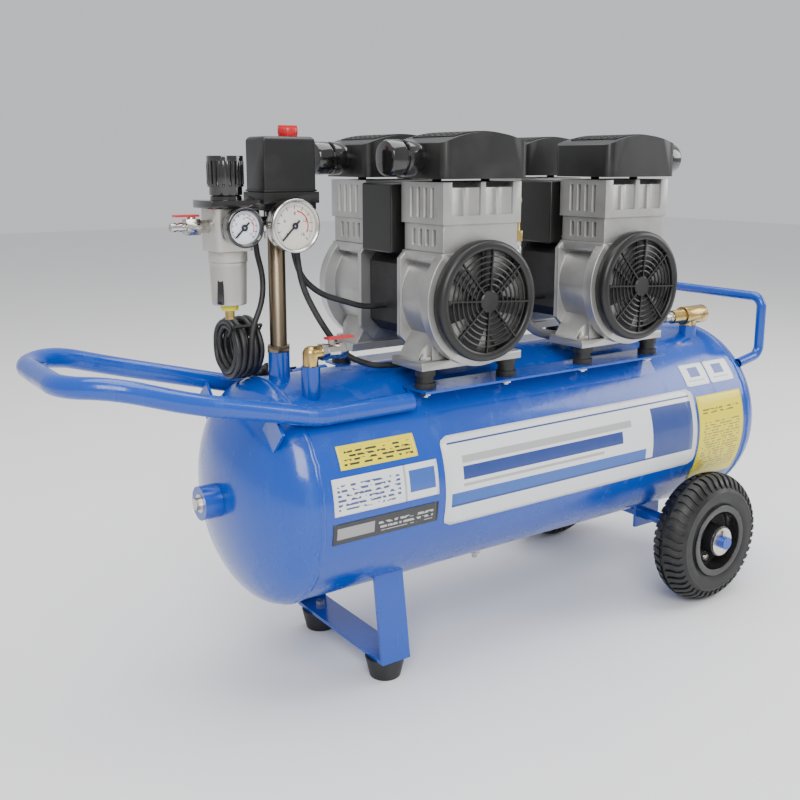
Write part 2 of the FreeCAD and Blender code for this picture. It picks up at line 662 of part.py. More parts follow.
def make_guard(x, side):
    back, front = side * (CASE_Y1 + 0.3), side * (GUARD_Y1 - GUARD_BAR)
    tip = side * GUARD_Y1
    wall = on_y(GUARD_R, x, SHAFT_Z, back, tip).cut(on_y(GUARD_R - GUARD_WALL, x, SHAFT_Z, back, tip))
    parts = [wall, on_y(GUARD_HUB_R, x, SHAFT_Z, front, tip)]
    rings = [(GUARD_R, GUARD_LIP_R)]
    for step in range(5):
        radius = GUARD_HUB_R + (step + 1) * (GUARD_LIP_R - GUARD_HUB_R) / 6
        rings.append((radius + 1.3, radius - 1.3))
    for outer, inner in rings:
        parts.append(on_y(outer, x, SHAFT_Z, front, tip).cut(on_y(inner, x, SHAFT_Z, front, tip)))
    for step in range(8):
        bar = box(x + GUARD_HUB_R - 2, x + GUARD_R - 1, front, tip, SHAFT_Z - 1.3, SHAFT_Z + 1.3)
        bar.rotate(V(x, 0, SHAFT_Z), V(0, 1, 0), 45.0 * step)
        parts.append(bar)
    return join(parts)


def make_rotor(name, x):
    end = GUARD_Y1 - GUARD_BAR - 2.0
    parts = [on_y(SHAFT_R, x, SHAFT_Z, -end, end),
             on_y(ROTOR_R, x, SHAFT_Z, -STATOR_Y + 4, STATOR_Y - 4)]
    for side in (-1, 1):
        middle = side * CYLINDER_Y
        parts.append(on_y(CRANK_R, x, SHAFT_Z + THROW, middle - CRANK_T / 2, middle + CRANK_T / 2))
    export(name + "_rotor", join(parts))


def make_fan(x, side):
    middle = side * 0.5 * (FAN_Y0 + FAN_Y1)
    parts = [on_y(18, x, SHAFT_Z, side * FAN_Y0, side * FAN_Y1)]
    for step in range(7):
        blade = box(x - 11, x + 11, middle - 1.1, middle + 1.1, SHAFT_Z + 12, SHAFT_Z + FAN_R - 1)
        blade.rotate(V(x, middle, SHAFT_Z), V(0, 0, 1), 15.0)
        blade.rotate(V(x, 0, SHAFT_Z), V(0, 1, 0), 360.0 / 7 * step)
        parts.append(blade)
    return join(parts).cut(on_y(SHAFT_R, x, SHAFT_Z, side * FAN_Y0, side * FAN_Y1))


def make_piston(name, x, side):
    """Piston with its rod. The eye is wide enough for the crank to turn freely inside it."""
    middle = side * CYLINDER_Y
    eye = 2 * THROW + CRANK_R + ROD_CLEAR
    eye_z = SHAFT_Z + THROW
    y0, y1 = middle - CRANK_T / 2, middle + CRANK_T / 2
    ring = on_y(eye + ROD_RING, x, eye_z, y0, y1)
    crown = HEAD_Z - 1.5
    shank = box(x - 8, x + 8, y0 + 1, y1 - 1, eye_z + eye, crown - PISTON_H + 2)
    disc = rod(BORE_R, (x, middle, crown - PISTON_H), (x, middle, crown))
    export(name, join([ring, shank, disc]).cut(on_y(eye, x, eye_z, y0, y1)))


def make_pumps():
    silencers, boxes = [], []
    for name, x, out in (("left", PUMP_X[0], -1), ("right", PUMP_X[1], 1)):
        sides = (-1, 1)
        make_stator(name, x)
        export(name + "_crankcases", *[make_crankcase(x, side) for side in sides])
        export(name + "_cylinders", *[make_cylinder(x, side) for side in sides])
        export(name + "_heads", *[make_head(x, side) for side in sides])
        export(name + "_covers", *[make_cover(x, side) for side in sides])
        export(name + "_fan_guards", *[make_guard(x, side) for side in sides])
        make_rotor(name, x)
        export(name + "_fans", *[make_fan(x, side) for side in sides])
        make_piston(name + "_front_piston", x, -1)
        make_piston(name + "_rear_piston", x, 1)
        silencers += [make_silencer(x, side, out) for side in sides]
        top = SHAFT_Z + STATOR_HALF
        boxes.append(box(x + BOX_X0, x + BOX_X1, -36, 36, top, top + BOX_H))
    export("silencers", *silencers)
    export("motor_boxes", *boxes)


# ---- stand pipe, pressure switch, gauges and filter ----------------------------------------------
def make_stand_pipe():
    top = MANIFOLD_Z - 18.0
    bore = PIPE_R - 3.0
    stub = rod(TAPPED_R, (PIPE_X, 0, TANK_Z + TANK_R + 4), (PIPE_X, 0, SOCKET_TOP))
    nut = hexagon(28, (PIPE_X, 0, SOCKET_TOP), (PIPE_X, 0, SOCKET_TOP + 8))
    body = join([stub, nut, rod(PIPE_R, (PIPE_X, 0, SOCKET_TOP + 8), (PIPE_X, 0, top))])
    export("stand_pipe", body.cut(rod(0.6 * bore, (PIPE_X, 0, TANK_Z + TANK_R), (PIPE_X, 0, top))))
    front = -TANK_GAUGE_Y + GAUGE_T
    side = FILTER_X + FILTER_HALF
    block = join([rod(MANIFOLD_R, (PIPE_X, 0, top), (PIPE_X, 0, SWITCH_BASE_Z)),
                  rod(NIPPLE_R, (side, 0, MANIFOLD_Z), (PIPE_X, 0, MANIFOLD_Z)),
                  hexagon(20, (PIPE_X - 30, 0, MANIFOLD_Z), (PIPE_X - 12, 0, MANIFOLD_Z)),
                  rod(6, (PIPE_X, 0, MANIFOLD_Z), (PIPE_X, front, MANIFOLD_Z)),
                  hexagon(14, (PIPE_X, -12, MANIFOLD_Z), (PIPE_X, front, MANIFOLD_Z))])
    export("manifold", block.cut(rod(5, (PIPE_X, 0, top), (PIPE_X, 0, SWITCH_BASE_Z - 4))))


GLAND_X, GLAND_Y = PIPE_X - 20.0, 20.0
GLAND_DROP = 16.0
LEAD_EXITS = ((PIPE_X + 20.0, -16.0), (PIPE_X + 30.0, 12.0))


def make_switch():
    cx = PIPE_X + 9.0
    z0, z1 = SWITCH_BASE_Z, SWITCH_BASE_Z + SWITCH_BASE_H
    hx, hy = SWITCH_HALF_X, SWITCH_HALF_Y
    base = [box(cx - hx - 3, cx + hx + 3, -hy - 3, hy + 3, z0 + 8, z1),
            box(cx - hx, cx + hx, -hy, hy, z0, z0 + 8),
            rod(7, (GLAND_X, GLAND_Y, z0 - GLAND_DROP), (GLAND_X, GLAND_Y, z0 + 1))]
    for x, y in LEAD_EXITS:
        base.append(rod(7, (x, y, z0 - GLAND_DROP + 4), (x, y, z0 + 1)))
    export("switch_body", join(base))
    top = z1 + SWITCH_COVER_H
    cover = box(cx - hx, cx + hx, -hy, hy, z1, top)
    cover = cover.makeFillet(6.0, [edge for edge in cover.Edges if edge.BoundBox.ZMin > top - 1])
    cavity = box(cx - hx + 3, cx + hx - 3, -hy + 3, hy - 3, z1, top - 3)
    stem = rod(5 + RUNNING_FIT, (KNOB_X, 0, top - 4), (KNOB_X, 0, top + 1))
    export("switch_cover", cover.cut(cavity).cut(stem))
    knob = [rod(5, (KNOB_X, 0, top - 8), (KNOB_X, 0, top + 2)),
            rod(KNOB_R, (KNOB_X, 0, top + SIDE_GAP), (KNOB_X, 0, top + KNOB_H - 2)),
            box(KNOB_X - KNOB_R, KNOB_X + KNOB_R, -3, 3, top + 2, top + KNOB_H + 2)]
    export("switch_knob", join(knob))


def gauge_case(x, z, radius, face):
    """Round gauge that looks towards -Y, with an open bezel and a pin for its needle."""
    back = -face + GAUGE_T
    body = join([on_y(radius, x, z, -face, back - 5), on_y(radius - 5, x, z, back - 5, back)])
    body = body.cut(on_y(radius - 3, x, z, -face, -face + 6))
    pin = on_y(1.5, x, z, -face + 2.5, -face + 7)
    return join([body, pin])


def gauge_needle(name, x, z, radius, face):
    back = -face + 4.5
    length = radius - 8
    hand = [on_y(4, x, z, back, back - NEEDLE_T - 0.4),
            box(x - 1, x + 1, back - NEEDLE_T, back, z - 9, z + length)]
    hand = join(hand).cut(on_y(1.5 + RUNNING_FIT, x, z, -face, back + 1))
    # at rest the needle points down to the left, at zero
    hand.rotate(V(x, 0, z), V(0, 1, 0), -135)
    export(name, hand)


def make_gauges():
    export("gauge_cases",
           gauge_case(PIPE_X, MANIFOLD_Z, TANK_GAUGE_R, TANK_GAUGE_Y),
           gauge_case(FILTER_X, MANIFOLD_Z, AIR_GAUGE_R, AIR_GAUGE_Y + 6))
    gauge_needle("tank_needle", PIPE_X, MANIFOLD_Z, TANK_GAUGE_R, TANK_GAUGE_Y)
    gauge_needle("air_needle", FILTER_X, MANIFOLD_Z, AIR_GAUGE_R, AIR_GAUGE_Y + 6)


def make_filter():
    x, half = FILTER_X, FILTER_HALF
    body = box(x - half, x + half, -half, half, FILTER_BOTTOM, FILTER_TOP)
    body = body.makeFillet(8.0, [edge for edge in body.Edges if edge.BoundBox.ZLength > 20])
    back = -(AIR_GAUGE_Y + 6) + GAUGE_T
    flange_top = FILTER_TOP + 9.0
    parts = [body, on_y(6, x, MANIFOLD_Z, -half + 1, back),
             box(x - 31, x + 31, -28, 28, FILTER_TOP, flange_top),
             rod(16, (x, 0, flange_top), (x, 0, flange_top + 6))]
    export("regulator_body", join(parts).cut(rod(6 + RUNNING_FIT, (x, 0, FILTER_TOP), (x, 0, flange_top + 7))))
    low = flange_top + 6 + SIDE_GAP
    knob = [rod(6, (x, 0, FILTER_TOP + 1), (x, 0, low + 1)),
            rod(DIAL_KNOB_R - 2, (x, 0, low), (x, 0, low + 10)),
            rod(DIAL_KNOB_R, (x, 0, low + 10), (x, 0, low + DIAL_KNOB_H))]
    knob = join(knob)
    for step in range(18):
        turn = math.radians(20.0 * step)
        place = (x + DIAL_KNOB_R * math.cos(turn), DIAL_KNOB_R * math.sin(turn))
        knob = knob.cut(rod(1.4, (place[0], place[1], low + 12), (place[0], place[1], low + DIAL_KNOB_H - 6)))
    export("regulator_knob", knob)
    low = FILTER_BOTTOM - BOWL_H
    bowl = [rod(BOWL_R, (x, 0, FILTER_BOTTOM - 14), (x, 0, FILTER_BOTTOM)),
            cone(BOWL_END_R, BOWL_R - 1, (x, 0, low), (x, 0, FILTER_BOTTOM - 14)),
            rod(9, (x, 0, low - 8), (x, 0, low))]
    bowl = join(bowl).cut(rod(BOWL_END_R - 4, (x, 0, low + 4), (x, 0, FILTER_BOTTOM)))
    export("filter_bowl", bowl.cut(rod(3 + RUNNING_FIT, (x, 0, low - 9), (x, 0, low + 5))))
    drain = [rod(3, (x, 0, low - 12), (x, 0, low + 2)),
             rod(6, (x, 0, low - 19), (x, 0, low - 8 - SIDE_GAP))]
    export("bowl_drain", join(drain).cut(rod(1.5, (x, 0, low - 19), (x, 0, low + 2))))


# ---- valves and brass fittings -------------------------------------------------------------------
STEM_R = 3.0
LEVER_T = 3.0


def lever(x, y, z, along, length):
    """Red ball-valve lever on its stem, in line with the open valve."""
    low, high = sorted((x - along * 8, x + along * length))
    parts = [rod(STEM_R, (x, y, z - 6), (x, y, z + LEVER_T)),
             box(low, high, y - 6, y + 6, z + SIDE_GAP, z + LEVER_T)]
    return join(parts)


def make_valves():
    out_x = FILTER_X - FILTER_HALF
    outlet = join([rod(8, (out_x - 12, 0, MANIFOLD_Z), (out_x, 0, MANIFOLD_Z)),
                   hexagon(19, (out_x - 30, 0, MANIFOLD_Z), (out_x - 12, 0, MANIFOLD_Z)),
                   rod(5, (out_x - 21, 0, MANIFOLD_Z), (out_x - 21, 0, MANIFOLD_Z + 12)),
                   rod(5, (out_x - 48, 0, MANIFOLD_Z), (out_x - 30, 0, MANIFOLD_Z)),
                   rod(6, (out_x - 38, 0, MANIFOLD_Z), (out_x - 34, 0, MANIFOLD_Z)),
                   rod(6, (out_x - 46, 0, MANIFOLD_Z), (out_x - 42, 0, MANIFOLD_Z))])
    outlet = outlet.cut(rod(STEM_R + RUNNING_FIT, (out_x - 21, 0, MANIFOLD_Z + 5),
                            (out_x - 21, 0, MANIFOLD_Z + 13)))
    x, y = OUTLET_SOCKET_X, OUTLET_SOCKET_Y
    start = x + 14
    tank = join([hexagon(20, (start, y, VALVE_Z), (start + 9, y, VALVE_Z)),
                 rod(10, (start + 9, y, VALVE_Z), (start + 25, y, VALVE_Z)),
                 hexagon(20, (start + 25, y, VALVE_Z), (start + 34, y, VALVE_Z)),
                 rod(5, (start + 17, y, VALVE_Z), (start + 17, y, VALVE_Z + 15))])
    tank = tank.cut(rod(STEM_R + RUNNING_FIT, (start + 17, y, VALVE_Z + 8), (start + 17, y, VALVE_Z + 16)))
    tank = tank.cut(rod(4, (start + 26, y, VALVE_Z), (start + 34, y, VALVE_Z)))
    bottom = DRAIN_BOTTOM
    drain = join([rod(TAPPED_R, (DRAIN_X, 0, bottom), (DRAIN_X, 0, bottom + 8)),
                  hexagon(17, (DRAIN_X, 0, bottom - 10), (DRAIN_X, 0, bottom)),
                  rod(4, (DRAIN_X, 0, bottom - 18), (DRAIN_X, 0, bottom - 10))])
    safe_x = PIPE_X
    safety = join([rod(5, (safe_x, MANIFOLD_R - 1, MANIFOLD_Z), (safe_x, 24, MANIFOLD_Z)),
                   hexagon(17, (safe_x, 24, MANIFOLD_Z), (safe_x, 32, MANIFOLD_Z)),
                   rod(8, (safe_x, 32, MANIFOLD_Z), (safe_x, 50, MANIFOLD_Z)),
                   rod(2, (safe_x, 50, MANIFOLD_Z), (safe_x, 58, MANIFOLD_Z))])
    safety = safety.cut(rod(MANIFOLD_R, (PIPE_X, 0, MANIFOLD_Z - 20), (PIPE_X, 0, MANIFOLD_Z + 20)))
    export("valve_bodies", outlet, tank, drain, safety)
    export("outlet_lever", lever(out_x - 21, 0, MANIFOLD_Z + 12, -1, 22))
    export("tank_lever", lever(start + 17, y, VALVE_Z + 15, 1, 30))
    elbow = join([rod(TAPPED_R, (x, y, OUTLET_TOP - 8), (x, y, OUTLET_TOP)),
                  rod(10, (x, y, OUTLET_TOP), (x, y, VALVE_Z)),
                  Part.makeSphere(10, V(x, y, VALVE_Z)),
                  rod(9, (x, y, VALVE_Z), (start, y, VALVE_Z))])
    z = CHECK_SOCKET_TOP + 17
    check = join([rod(TAPPED_R, (CHECK_X, CHECK_Y, CHECK_SOCKET_TOP - 8), (CHECK_X, CHECK_Y, CHECK_SOCKET_TOP)),
                  hexagon(24, (CHECK_X, CHECK_Y, CHECK_SOCKET_TOP), (CHECK_X, CHECK_Y, CHECK_SOCKET_TOP + 8)),
                  rod(10, (CHECK_X, CHECK_Y, CHECK_SOCKET_TOP + 8), (CHECK_X, CHECK_Y, z)),
                  rod(15, (CHECK_X - 16, CHECK_Y, z), (CHECK_X + 34, CHECK_Y, z)),
                  rod(11, (CHECK_X - 42, CHECK_Y, z), (CHECK_X - 16, CHECK_Y, z))])
    port_x, port_z = PUMP_X[0] + BLOCK_HALF, HEAD_Z + 0.5 * HEAD_H
    down_x = PUMP_X[0] + RING_R
    delivery = join([rod(7, (port_x, -DELIVERY_Y, port_z), (down_x, -DELIVERY_Y, port_z)),
                     Part.makeSphere(8, V(down_x, -DELIVERY_Y, port_z)),
                     rod(6, (down_x, -DELIVERY_Y, port_z), (down_x, -DELIVERY_Y, DELIVERY_Z)),
                     hexagon(17, (down_x, -DELIVERY_Y, DELIVERY_Z), (down_x, -DELIVERY_Y, DELIVERY_Z + 14))])
    export("brass_fittings", elbow, check, delivery)
    return CHECK_X - 42, z


# ---- leads, hose and mains cord ------------------------------------------------------------------
def make_leads(hose_x, hose_z):
    z0 = SWITCH_BASE_Z - GLAND_DROP + 4
    (x1, y1), (x2, y2) = LEAD_EXITS
    deck = DECK_Z
    left, right = PUMP_X
    side = left - STATOR_HALF
    under = SHAFT_Z - STATOR_HALF
    first = [(x1, y1, z0), (x1, y1, z0 - 44), (x1 + 6, y1 - 4, z0 - 88), (x1 + 24, y1 - 14, z0 - 130),
             (x1 + 52, y1 - 26, deck + 44), (x1 + 92, y1 - 32, deck + 25), (x1 + 136, y1 - 28, deck + 21),
             (left - 44, y1 - 22, deck + 19), (left - 21, y1 - 14, deck + 22), (left - 5, y1 - 7, deck + 32),
             (left + 1, y1 - 4, deck + 45), (left + 1, y1 - 4, under)]
    second = [(x2, y2, z0), (x2, y2, z0 - 42), (x2 + 10, y2 - 2, z0 - 78), (x2 + 38, y2 - 5, z0 - 102),
              (side - 36, 4, SHAFT_Z - 18), (side, 4, SHAFT_Z - 18)]
    top = SHAFT_Z + STATOR_HALF + 40
    third = [(left + BOX_X1, -12, top), (left + 64, -12, top), (left + 98, -12, top - 14),
             (left + 120, -12, top - 42), (left + 126, -10, top - 78), (left + 138, -8, top - 108), (right - STATOR_HALF - 34, -6, SHAFT_Z - 26),
             (right - STATOR_HALF, -6, SHAFT_Z - 26)]
    export("motor_leads", cord(first, LEAD_D, "lead to the left motor"),
           cord(second, LEAD_D, "second lead"), cord(third, LEAD_D, "lead between the motors"))
    x, z = left + RING_R, DELIVERY_Z
    hose = [(x, -DELIVERY_Y, z), (x, -DELIVERY_Y, z - 36), (x + 8, -95, z - 72), (x + 29, -82, z - 104),
            (x + 62, -63, z - 130), (x + 104, -42, z - 147), (x + 154, -30, deck + 28), (x + 214, -25, deck + 26),
            (x + 268, -26, deck + 27), (x + 310, -33, deck + 28), (hose_x - 47, CHECK_Y + 7, hose_z - 5),
            (hose_x - 24, CHECK_Y, hose_z), (hose_x, CHECK_Y, hose_z)]
    export("braided_hose", cord(hose, HOSE_D, "braided hose"))


def make_mains_cord():
    z0 = SWITCH_BASE_Z - GLAND_DROP
    outer = COIL_R - 0.5 * CORD_D
    front = COIL_Y - outer
    drop = [(GLAND_X, GLAND_Y, z0), (GLAND_X, GLAND_Y, z0 - 34), (GLAND_X + 8, GLAND_Y - 5, z0 - 68),
            (GLAND_X + 3, GLAND_Y - 11, z0 - 102), (COIL_X + 5, front + 2, COIL_Z + 31),
            (COIL_X, front, COIL_Z + 5)]
    low = COIL_Z - outer
    lie = TANK_R + PLUG_HALF_T + 0.8
    lie_y = COIL_Y + 40
    lie_z = TANK_Z + math.sqrt(lie ** 2 - lie_y ** 2)
    plug_x = COIL_X + 44
    tail = [(COIL_X - 11, COIL_Y - 13, low + 1), (COIL_X - 11, COIL_Y + 9.5, low - 2),
            (COIL_X, COIL_Y + 29, 0.5 * (low + lie_z) + 1), (plug_x - 24, lie_y, lie_z), (plug_x, lie_y, lie_z)]
    export("power_cord", cord(drop, CORD_D, "mains cord, drop"), cord(tail, CORD_D, "mains cord, tail"))
    ends = (COIL_X - COIL_HALF_T, COIL_Y, COIL_Z), (COIL_X + COIL_HALF_T, COIL_Y, COIL_Z)
    export("cord_coil", pipe(COIL_R, COIL_HOLE_R, *ends))
    # the plug lies flat on the tank, with its strain relief towards the cord
    body = [rod(6, (plug_x, lie_y, lie_z), (plug_x + 11, lie_y, lie_z)),
            box(plug_x + 10, plug_x + 44, lie_y - 16, lie_y + 16, lie_z - PLUG_HALF_T, lie_z + PLUG_HALF_T)]
    for dy in (-7, 7):
        body.append(box(plug_x + 43, plug_x + 59, lie_y + dy - 3, lie_y + dy + 3, lie_z - 0.9, lie_z + 0.9))
    plug = join(body)
    plug.rotate(V(plug_x, lie_y, lie_z), V(1, 0, 0), -math.degrees(math.asin(lie_y / lie)))
    export("mains_plug", plug)


def main():
    make_tank()
    fasteners = make_stand()
    make_handles()
    make_wheel("front", -1)
    make_wheel("rear", 1)
    fasteners += make_axle()
    fasteners += make_deck()
    fasteners.append(join([rod(PLUG_R, (BOSS_FACE_X, 0, TANK_Z), (BOSS_FACE_X + 14, 0, TANK_Z)),
                           hexagon(14, (BOSS_FACE_X - 6, 0, TANK_Z), (BOSS_FACE_X, 0, TANK_Z))]))
    export("fasteners", *fasteners)
    make_pumps()
    make_stand_pipe()
    make_switch()
    make_gauges()
    make_filter()
    hose_x, hose_z = make_valves()
    make_leads(hose_x, hose_z)
    make_mains_cord()


main()
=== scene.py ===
import json
import math
import bmesh
import bpy
from mathutils import Matrix, Vector


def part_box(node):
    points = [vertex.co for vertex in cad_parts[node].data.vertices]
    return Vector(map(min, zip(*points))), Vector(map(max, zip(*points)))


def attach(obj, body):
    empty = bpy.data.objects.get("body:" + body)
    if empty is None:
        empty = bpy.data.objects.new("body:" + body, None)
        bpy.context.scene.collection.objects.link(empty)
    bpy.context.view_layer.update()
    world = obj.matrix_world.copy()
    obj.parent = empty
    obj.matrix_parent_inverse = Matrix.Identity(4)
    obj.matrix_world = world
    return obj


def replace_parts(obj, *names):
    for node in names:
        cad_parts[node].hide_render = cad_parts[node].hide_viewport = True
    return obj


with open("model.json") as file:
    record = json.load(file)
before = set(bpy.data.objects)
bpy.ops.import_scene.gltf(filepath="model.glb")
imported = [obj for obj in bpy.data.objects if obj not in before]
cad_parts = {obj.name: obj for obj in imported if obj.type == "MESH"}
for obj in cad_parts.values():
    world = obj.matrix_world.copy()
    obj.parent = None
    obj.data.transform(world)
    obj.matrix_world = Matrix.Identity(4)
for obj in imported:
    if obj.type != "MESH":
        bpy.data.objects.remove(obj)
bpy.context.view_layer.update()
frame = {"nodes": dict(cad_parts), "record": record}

node = frame["nodes"]

# ---- Camera, floor and lamps ----------------------------------------------------------------------
# The compressor stands on a pale studio floor under three large soft lamps.
camera = bpy.data.objects.new("camera", bpy.data.cameras.new("camera"))
camera.location = (-0.86167, -1.13622, 0.69018)
camera.rotation_euler = (math.radians(78.99), 0, math.radians(-34.80))
camera.data.lens = 44.79
camera.data.shift_x = -0.0075
camera.data.shift_y = -0.0568
bpy.context.scene.collection.objects.link(camera)
bpy.context.scene.camera = camera

MIDDLE = Vector((0.05, 0, 0.4))
LAMPS = (("key", (-1.6, -2.4, 2.3), 1.8, 92),
         ("top", (0.3, 0.2, 2.9), 2.6, 80),
         ("side", (2.8, -1.2, 1.6), 1.6, 42))
for name, place, size, watts in LAMPS:
    lamp = bpy.data.objects.new(name, bpy.data.lights.new(name, "AREA"))
    lamp.data.size = size
    lamp.data.energy = watts
    lamp.location = place
    lamp.rotation_euler = (MIDDLE - lamp.location).to_track_quat("-Z", "Y").to_euler()
    bpy.context.scene.collection.objects.link(lamp)
sky = bpy.data.worlds.new("studio")
sky.use_nodes = True
sky.node_tree.nodes["Background"].inputs["Color"].default_value = (0.96, 0.97, 1.0, 1)
sky.node_tree.nodes["Background"].inputs["Strength"].default_value = 0.72
bpy.context.scene.world = sky


# ---- Mains cord -----------------------------------------------------------------------------------
# Black rubber-sheathed lead: it drops from the switch's gland, is wound in a coil that stands on the
# tank beside the stand pipe, and ends in a moulded plug that lies behind the coil.
class Wire:
    """An output in a finish's shader that is reckoned with like a number."""

    def __init__(self, finish, socket):
        self.finish = finish
        self.socket = socket

    def sum(self, operation, *others):
        return self.finish.node("ShaderNodeMath", {"operation": operation}, [self, *others])

    def __add__(self, other):
        return self.sum("ADD", other)

    def __sub__(self, other):
        return self.sum("SUBTRACT", other)

    def __rsub__(self, other):
        return self.sum("MULTIPLY", -1.0) + other

    def __mul__(self, other):
        return self.sum("MULTIPLY", other)

    def __truediv__(self, other):
        return self.sum("DIVIDE", other)

    def __gt__(self, other):
        return self.sum("GREATER_THAN", other)

    def __lt__(self, other):
        return self.sum("LESS_THAN", other)

    __radd__ = __add__
    __rmul__ = __mul__


class Finish:
    """One surface finish: a material whose sockets take numbers, colours or wires."""

    def __init__(self, name, slot):
        self.material = bpy.data.materials.new(name)
        self.material.use_nodes = True
        self.slot = slot
        self.shader = self.material.node_tree.nodes["Principled BSDF"]
        self.place = self.node("ShaderNodeTexCoord", {}, {}, "Object")

    def node(self, kind, settings, values, output=0):
        made = self.material.node_tree.nodes.new(kind)
        for key, value in settings.items():
            if key == "stops":
                for stop, (at, shade) in zip(made.color_ramp.elements, value):
                    stop.position, stop.color = at, (shade, shade, shade, 1)
            else:
                setattr(made, key, value)
        for key, value in values.items() if isinstance(values, dict) else enumerate(values):
            self.feed(made.inputs[key], value)
        return Wire(self, made.outputs[output])

    def feed(self, socket, value):
        if isinstance(value, Wire):
            self.material.node_tree.links.new(value.socket, socket)
        elif isinstance(value, tuple) and len(value) == 3 and len(socket.default_value) == 4:
            socket.default_value = (*value, 1)
        else:
            socket.default_value = value

    def mix(self, share, first, second):
        return self.node("ShaderNodeMix", {"data_type": "RGBA"}, {0: share, 6: first, 7: second}, 2)

    def noise(self, scale, stretch=(1, 1, 1), detail=3.0):
        place = self.node("ShaderNodeMapping", {}, {"Vector": self.place, "Scale": stretch})
        return self.node("ShaderNodeTexNoise", {}, {"Vector": place, "Scale": scale, "Detail": detail})

    def spread(self, wire, low, high):
        """The part of a wire between two values, stretched to run from 0 to 1."""
        return self.node("ShaderNodeMapRange", {}, [wire, low, high, 0.0, 1.0])

    def bump(self, height, depth, strength=1.0):
        return self.node("ShaderNodeBump", {}, {"Height": height, "Distance": depth, "Strength": strength})

    def shade(self, **sockets):
        for name, value in sockets.items():
            self.feed(self.shader.inputs[name.replace("_", " ")], value)
        return self


paper = Finish("floor_paper", "")
paper.shade(Base_Color=paper.mix(paper.noise(3.0), (0.84, 0.84, 0.84), (0.87, 0.87, 0.87)), Roughness=0.85,
            Normal=paper.bump(paper.noise(400.0), 0.0002, 0.2))
floor_mesh = bpy.data.meshes.new("floor")
FLOOR_HALF = 9
floor_mesh.from_pydata([(FLOOR_HALF * x, FLOOR_HALF * y, 0) for x, y in ((-1, -1), (1, -1), (1, 1), (-1, 1))],
                       [], [(0, 1, 2, 3)])
floor_mesh.materials.append(paper.material)
floor = bpy.data.objects.new("floor", floor_mesh)
bpy.context.scene.collection.objects.link(floor)

rubber = Finish("cord_sheath", "cord_rubber")
grime = rubber.spread(rubber.noise(60.0), 0.45, 0.75)
rubber.shade(Base_Color=rubber.mix(grime, (0.012, 0.012, 0.013), (0.035, 0.034, 0.032)),
             Roughness=0.42 + 0.2 * grime, Normal=rubber.bump(rubber.noise(900.0), 0.0002, 0.4))

CORD_DIAMETER = 0.0075
COIL_CENTRE = Vector((-0.311, 0.042, 0.45114))
drop = [(-0.293, 0.020, 0.614), (-0.293, 0.020, 0.580), (-0.285, 0.015, 0.546), (-0.290, 0.009, 0.512),
        (-0.306, 0.00675, 0.4821)]
tail = [(-0.322, 0.0515, 0.4119), (-0.311, 0.071, 0.4088), (-0.291, 0.082, 0.4017), (-0.267, 0.082, 0.4017)]
OUTER, INNER, PITCH, STEPS = 0.0372, 0.0288, 0.008, 12
LOOSE, WANDER = 0.012, 0.0006
# each turn's layer and its place across the coil: out to the right, back inside, out to the left
turns = [(OUTER, 0), (OUTER, 1), (OUTER, 2), (INNER, 2), (INNER, 1), (INNER, 0), (INNER, -1), (INNER, -2),
         (OUTER, -2), (OUTER, -1)]
wound = []
for index in range(STEPS * len(turns) + 3):
    turn, part = divmod(index, STEPS)
    here = turns[min(turn, len(turns) - 1)]
    after = turns[min(turn + 1, len(turns) - 1)]
    share = part / STEPS
    radius = (here[0] + (after[0] - here[0]) * share) / math.cos(math.pi / STEPS)
    across = (here[1] + (after[1] - here[1]) * share) * PITCH
    angle = math.pi + 2 * math.pi * index / STEPS
    slack = 1 + LOOSE * math.sin(2.7 * index)
    wound.append(COIL_CENTRE + Vector((across + WANDER * math.sin(1.9 * index),
                                       slack * radius * math.cos(angle),
                                       slack * radius * math.sin(angle))))
route = [Vector(p) for p in drop] + wound + [Vector(p) for p in tail]


def soft_line(name, points, diameter, finish):
    """Smooth round cord on a NURBS spline."""
    curve = bpy.data.curves.new(name, "CURVE")
    curve.dimensions = "3D"
    spline = curve.splines.new("NURBS")
    spline.points.add(len(points) - 1)
    for point, place in zip(spline.points, points):
        point.co = (*place, 1)
    spline.order_u = 3
    spline.use_endpoint_u = True
    spline.resolution_u = 4
    curve.bevel_depth = diameter / 2
    curve.bevel_resolution = 3
    curve.use_fill_caps = True
    line = bpy.data.objects.new(name, curve)
    bpy.context.scene.collection.objects.link(line)
    curve.materials.append(finish.material)
    return line


mains_cord = soft_line("mains_cord", route, CORD_DIAMETER, rubber)
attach(mains_cord, "chassis")
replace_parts(mains_cord, "power_cord", "cord_coil")


def dress(finish, *names):
    """A carried-over piece takes a finish."""
    for name in names:
        node[name].data.materials.clear()
        node[name].data.materials.append(finish.material)


# ---- Tank -----------------------------------------------------------------------------------------
# Pressure vessel of rolled and dished steel plate, welded round at both seams and along sockets, and
# sprayed with glossy blue enamel that shows a little orange peel and dust.
blue = Finish("blue_enamel", "blue_paint")
cloud = blue.noise(5.0, detail=2.0)
dust = blue.spread(blue.noise(38.0, (1, 1, 0.4), 6.0), 0.52, 0.74)
enamel = blue.mix(cloud, (0.0006, 0.048, 0.34), (0.0008, 0.066, 0.44))
orange_peel = blue.noise(240.0, detail=1.0) + 2.2 * blue.noise(26.0, detail=2.0)
blue.shade(Base_Color=blue.mix(dust * 0.25, enamel, (0.008, 0.10, 0.42)), Roughness=0.2 + 0.22 * dust,
           Coat_Weight=0.35, Coat_Roughness=0.08, Normal=blue.bump(orange_peel, 0.00035, 0.35))
SHARP_EDGE = math.radians(38)


